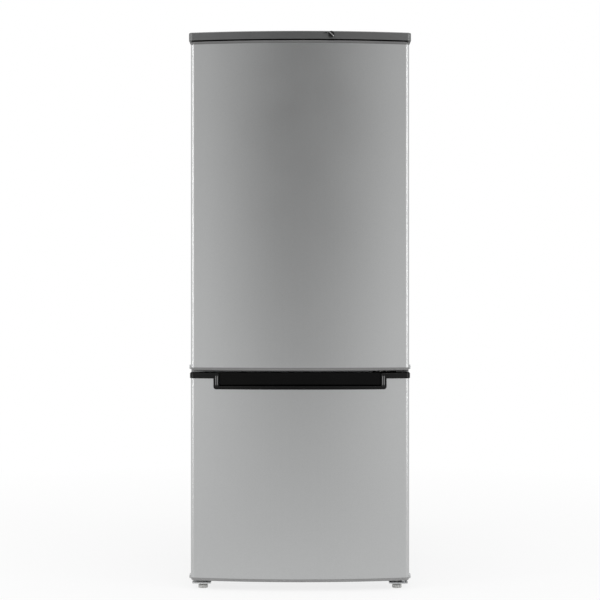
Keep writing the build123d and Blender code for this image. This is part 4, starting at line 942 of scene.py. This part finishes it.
def grip_rib(side, crest):
    """Rib on the rim: a crest between two slopes, whose height fades as 1 - t^8 towards its ends."""
    x = np.broadcast_to(side * (crest + from_crest), lift.shape)
    y = front_y(x, grip_proud) - lift
    return shell(np.stack(np.broadcast_arrays(x, y, rib_z), -1))


ribs = [grip_rib(side, crest) for side in (-1, 1) for crest in rib_places]
make_piece("grip_ribs", ribs, "freezer_door", "black_plastic", finish="polished_black")

# %% Ears at the lower corners
ear_proud = 4.2 * mm
ear_round = 2.4 * mm
ear_sunk = 1 * mm
ear_corner = 4 * mm
ear_drop = 5 * mm
ear_height = 12 * mm
ear_depth = 18 * mm
ear_back = 11 * mm

turn = np.linspace(0, np.pi / 2, 6)
ear_inset = np.concatenate([[0], ear_round * (1 - np.cos(turn))])
ear_out = np.concatenate([[-ear_sunk], ear_proud - ear_round * (1 - np.sin(turn))])


def door_ears(name, panel, body):
    """Ears on both sides of a door: a rounded oblong in Y and Z whose rim turns in as a quarter circle."""
    low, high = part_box(panel)
    foot = low.z - ear_drop
    back = high.y - ear_back
    plan_low = Vector((back - ear_depth, foot, 0))
    plan_high = Vector((back, foot + ear_height, 0))
    rings = plan_ring(plan_low, plan_high, ear_inset, ear_out, ear_corner)
    y, z, out = np.moveaxis(rings, -1, 0)
    ears = [shell(np.stack([side * (high.x + out), y, z], -1)) for side in (-1, 1)]
    return make_piece(name, ears, body, slot_of[panel])


door_ears("fridge_door_ears", "fridge_door_panel", "fridge_door")
door_ears("freezer_door_ears", "freezer_door_panel", "freezer_door")

# %% [markdown]
# ## Screws and levelling feet
# Fasteners are what a repairer looks at first. The hinge screws have a domed head with a cross recess,
# and the feet are notched discs on a threaded stud. Both are turned parts, so a point's place follows
# from its angle and from the row of the profile. What isn't round is taken off the radius or the height:
# the cross, the notches, the thread.

# %% Form of a screw
head_radius = 4.6 * mm
head_height = 2.6 * mm
head_fall = 0.45
head_points = 48
shank_radius = 2.2 * mm
plate_thickness = 3 * mm
cross_half = 0.6 * mm
cross_reach = 2.9 * mm
cross_depth = 1.3 * mm
cross_slope = 0.25 * mm

dome_rows = np.array([0.06, 0.14, 0.22, 0.3, 0.4, 0.5, 0.6, 0.72, 0.86, 0.96, 1.0])[:, None]
head_turn = np.linspace(0, 2 * np.pi, head_points, endpoint=False)


def within(value, end):
    """1 where a value lies inside its end, falling to 0 over the slope of the cross."""
    return np.clip((end - value) / cross_slope, 0, 1)


dome_r = head_radius * dome_rows
dome_x = dome_r * np.cos(head_turn)
dome_y = dome_r * np.sin(head_turn)
near_arm = np.minimum(np.abs(dome_x), np.abs(dome_y))
in_cross = within(near_arm, cross_half) * within(dome_r, cross_reach)
dome_z = head_height * (1 - head_fall * dome_rows**3) - cross_depth * in_cross
stem_r = np.array([head_radius, shank_radius, shank_radius])[:, None]
stem_z = np.array([0, 0, -plate_thickness])[:, None]
stem = np.broadcast_arrays(stem_r * np.cos(head_turn), stem_r * np.sin(head_turn), stem_z)
screw_form = np.concatenate([np.stack([dome_x, dome_y, dome_z], -1), np.stack(stem, -1)])
print("screw:", screw_form.shape[0], "rows of", screw_form.shape[1], "points")

# %% Cross-head screws
top_screw_inset = 18 * mm
top_screw_depths = (30 * mm, 70 * mm)
rail_screw_places = (10 * mm, 24 * mm, 38 * mm)
bracket_screw_depth = 25 * mm
bracket_screw_half = 11 * mm


def screw(seat, axis):
    """One screw: the turned form, with its own Z swung to the axis and its head seated at a point."""
    swing = np.array(Vector(axis).to_track_quat("Z", "Y").to_matrix())
    return shell(screw_form @ swing.T + np.array(seat))


front_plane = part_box("fridge_liner")[0].y
low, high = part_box("top_hinge")
screw_x = low.x + top_screw_inset
screws = [screw((screw_x, front_plane + y, high.z), (0, 0, 1)) for y in top_screw_depths]
low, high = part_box("middle_hinge")
screw_y = front_plane - plate_thickness
screw_z = (low.z + high.z) / 2
screws += [screw((low.x + x, screw_y, screw_z), (0, -1, 0)) for x in rail_screw_places]
for bracket in ("bottom_hinge", "left_foot_bracket"):
    low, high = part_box(bracket)
    for x in (-bracket_screw_half, bracket_screw_half):
        place = (low.x + high.x) / 2 + x
        seat = (place, front_plane + bracket_screw_depth, high.z - plate_thickness)
        screws.append(screw(seat, (0, 0, -1)))
make_piece("cross_head_screws", screws, "cabinet", "screw_steel", ["hinge_screws"], crease=28)

# %% Levelling feet
foot_disc = 8 * mm
foot_round = 1 * mm
foot_notches = 12
points_each_notch = 12
notch_radius = 1.5 * mm
stud_radius = 4 * mm
stud_tip_radius = 2.8 * mm
stud_tip_height = 0.5 * mm
thread_pitch = 1.75 * mm
thread_depth = 0.8 * mm
rows_each_turn = 8

foot_turn = np.linspace(0, 2 * np.pi, points_each_notch * foot_notches, endpoint=False)
notch_angle = 2 * np.pi / foot_notches
nip = round_share * foot_round
foot_profile = [
    (foot_round, 0),
    (nip, nip),
    (0, foot_round),
    (0, foot_disc - foot_round / 2),
    (foot_round / 2, foot_disc),
]
disc_inset, disc_up = np.array(foot_profile).T


def levelling_foot(name, node_name):
    """Foot: a disc less round notches, and a stud whose radius waves with z / pitch - angle / 2 pi."""
    low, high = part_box(node_name)
    radius = (high.x - low.x) / 2
    off_notch = radius * notch_angle * (np.mod(foot_turn / notch_angle + 0.5, 1) - 0.5)
    notch = np.sqrt(np.maximum(notch_radius**2 - off_notch**2, 0))
    disc_r = radius - notch - disc_inset[:, None]
    stud_z = np.arange(low.z + foot_disc, high.z - stud_tip_height, thread_pitch / rows_each_turn)
    phase = np.mod(stud_z[:, None] / thread_pitch - foot_turn / (2 * np.pi), 1)
    stud_r = stud_radius - thread_depth * np.abs(2 * phase - 1)
    tip_r = np.full((1, len(foot_turn)), stud_tip_radius)
    r = np.concatenate([disc_r, stud_r, tip_r])
    z = np.concatenate([low.z + disc_up, stud_z, [high.z]])[:, None]
    x = (low.x + high.x) / 2 + r * np.cos(foot_turn)
    y = (low.y + high.y) / 2 + r * np.sin(foot_turn)
    rings = np.stack(np.broadcast_arrays(x, y, z), -1)
    return make_piece(name, [shell(rings)], node_name, slot_of[node_name], [node_name], crease=40)


levelling_foot("left_levelling_foot", "left_foot")
levelling_foot("right_levelling_foot", "right_foot")
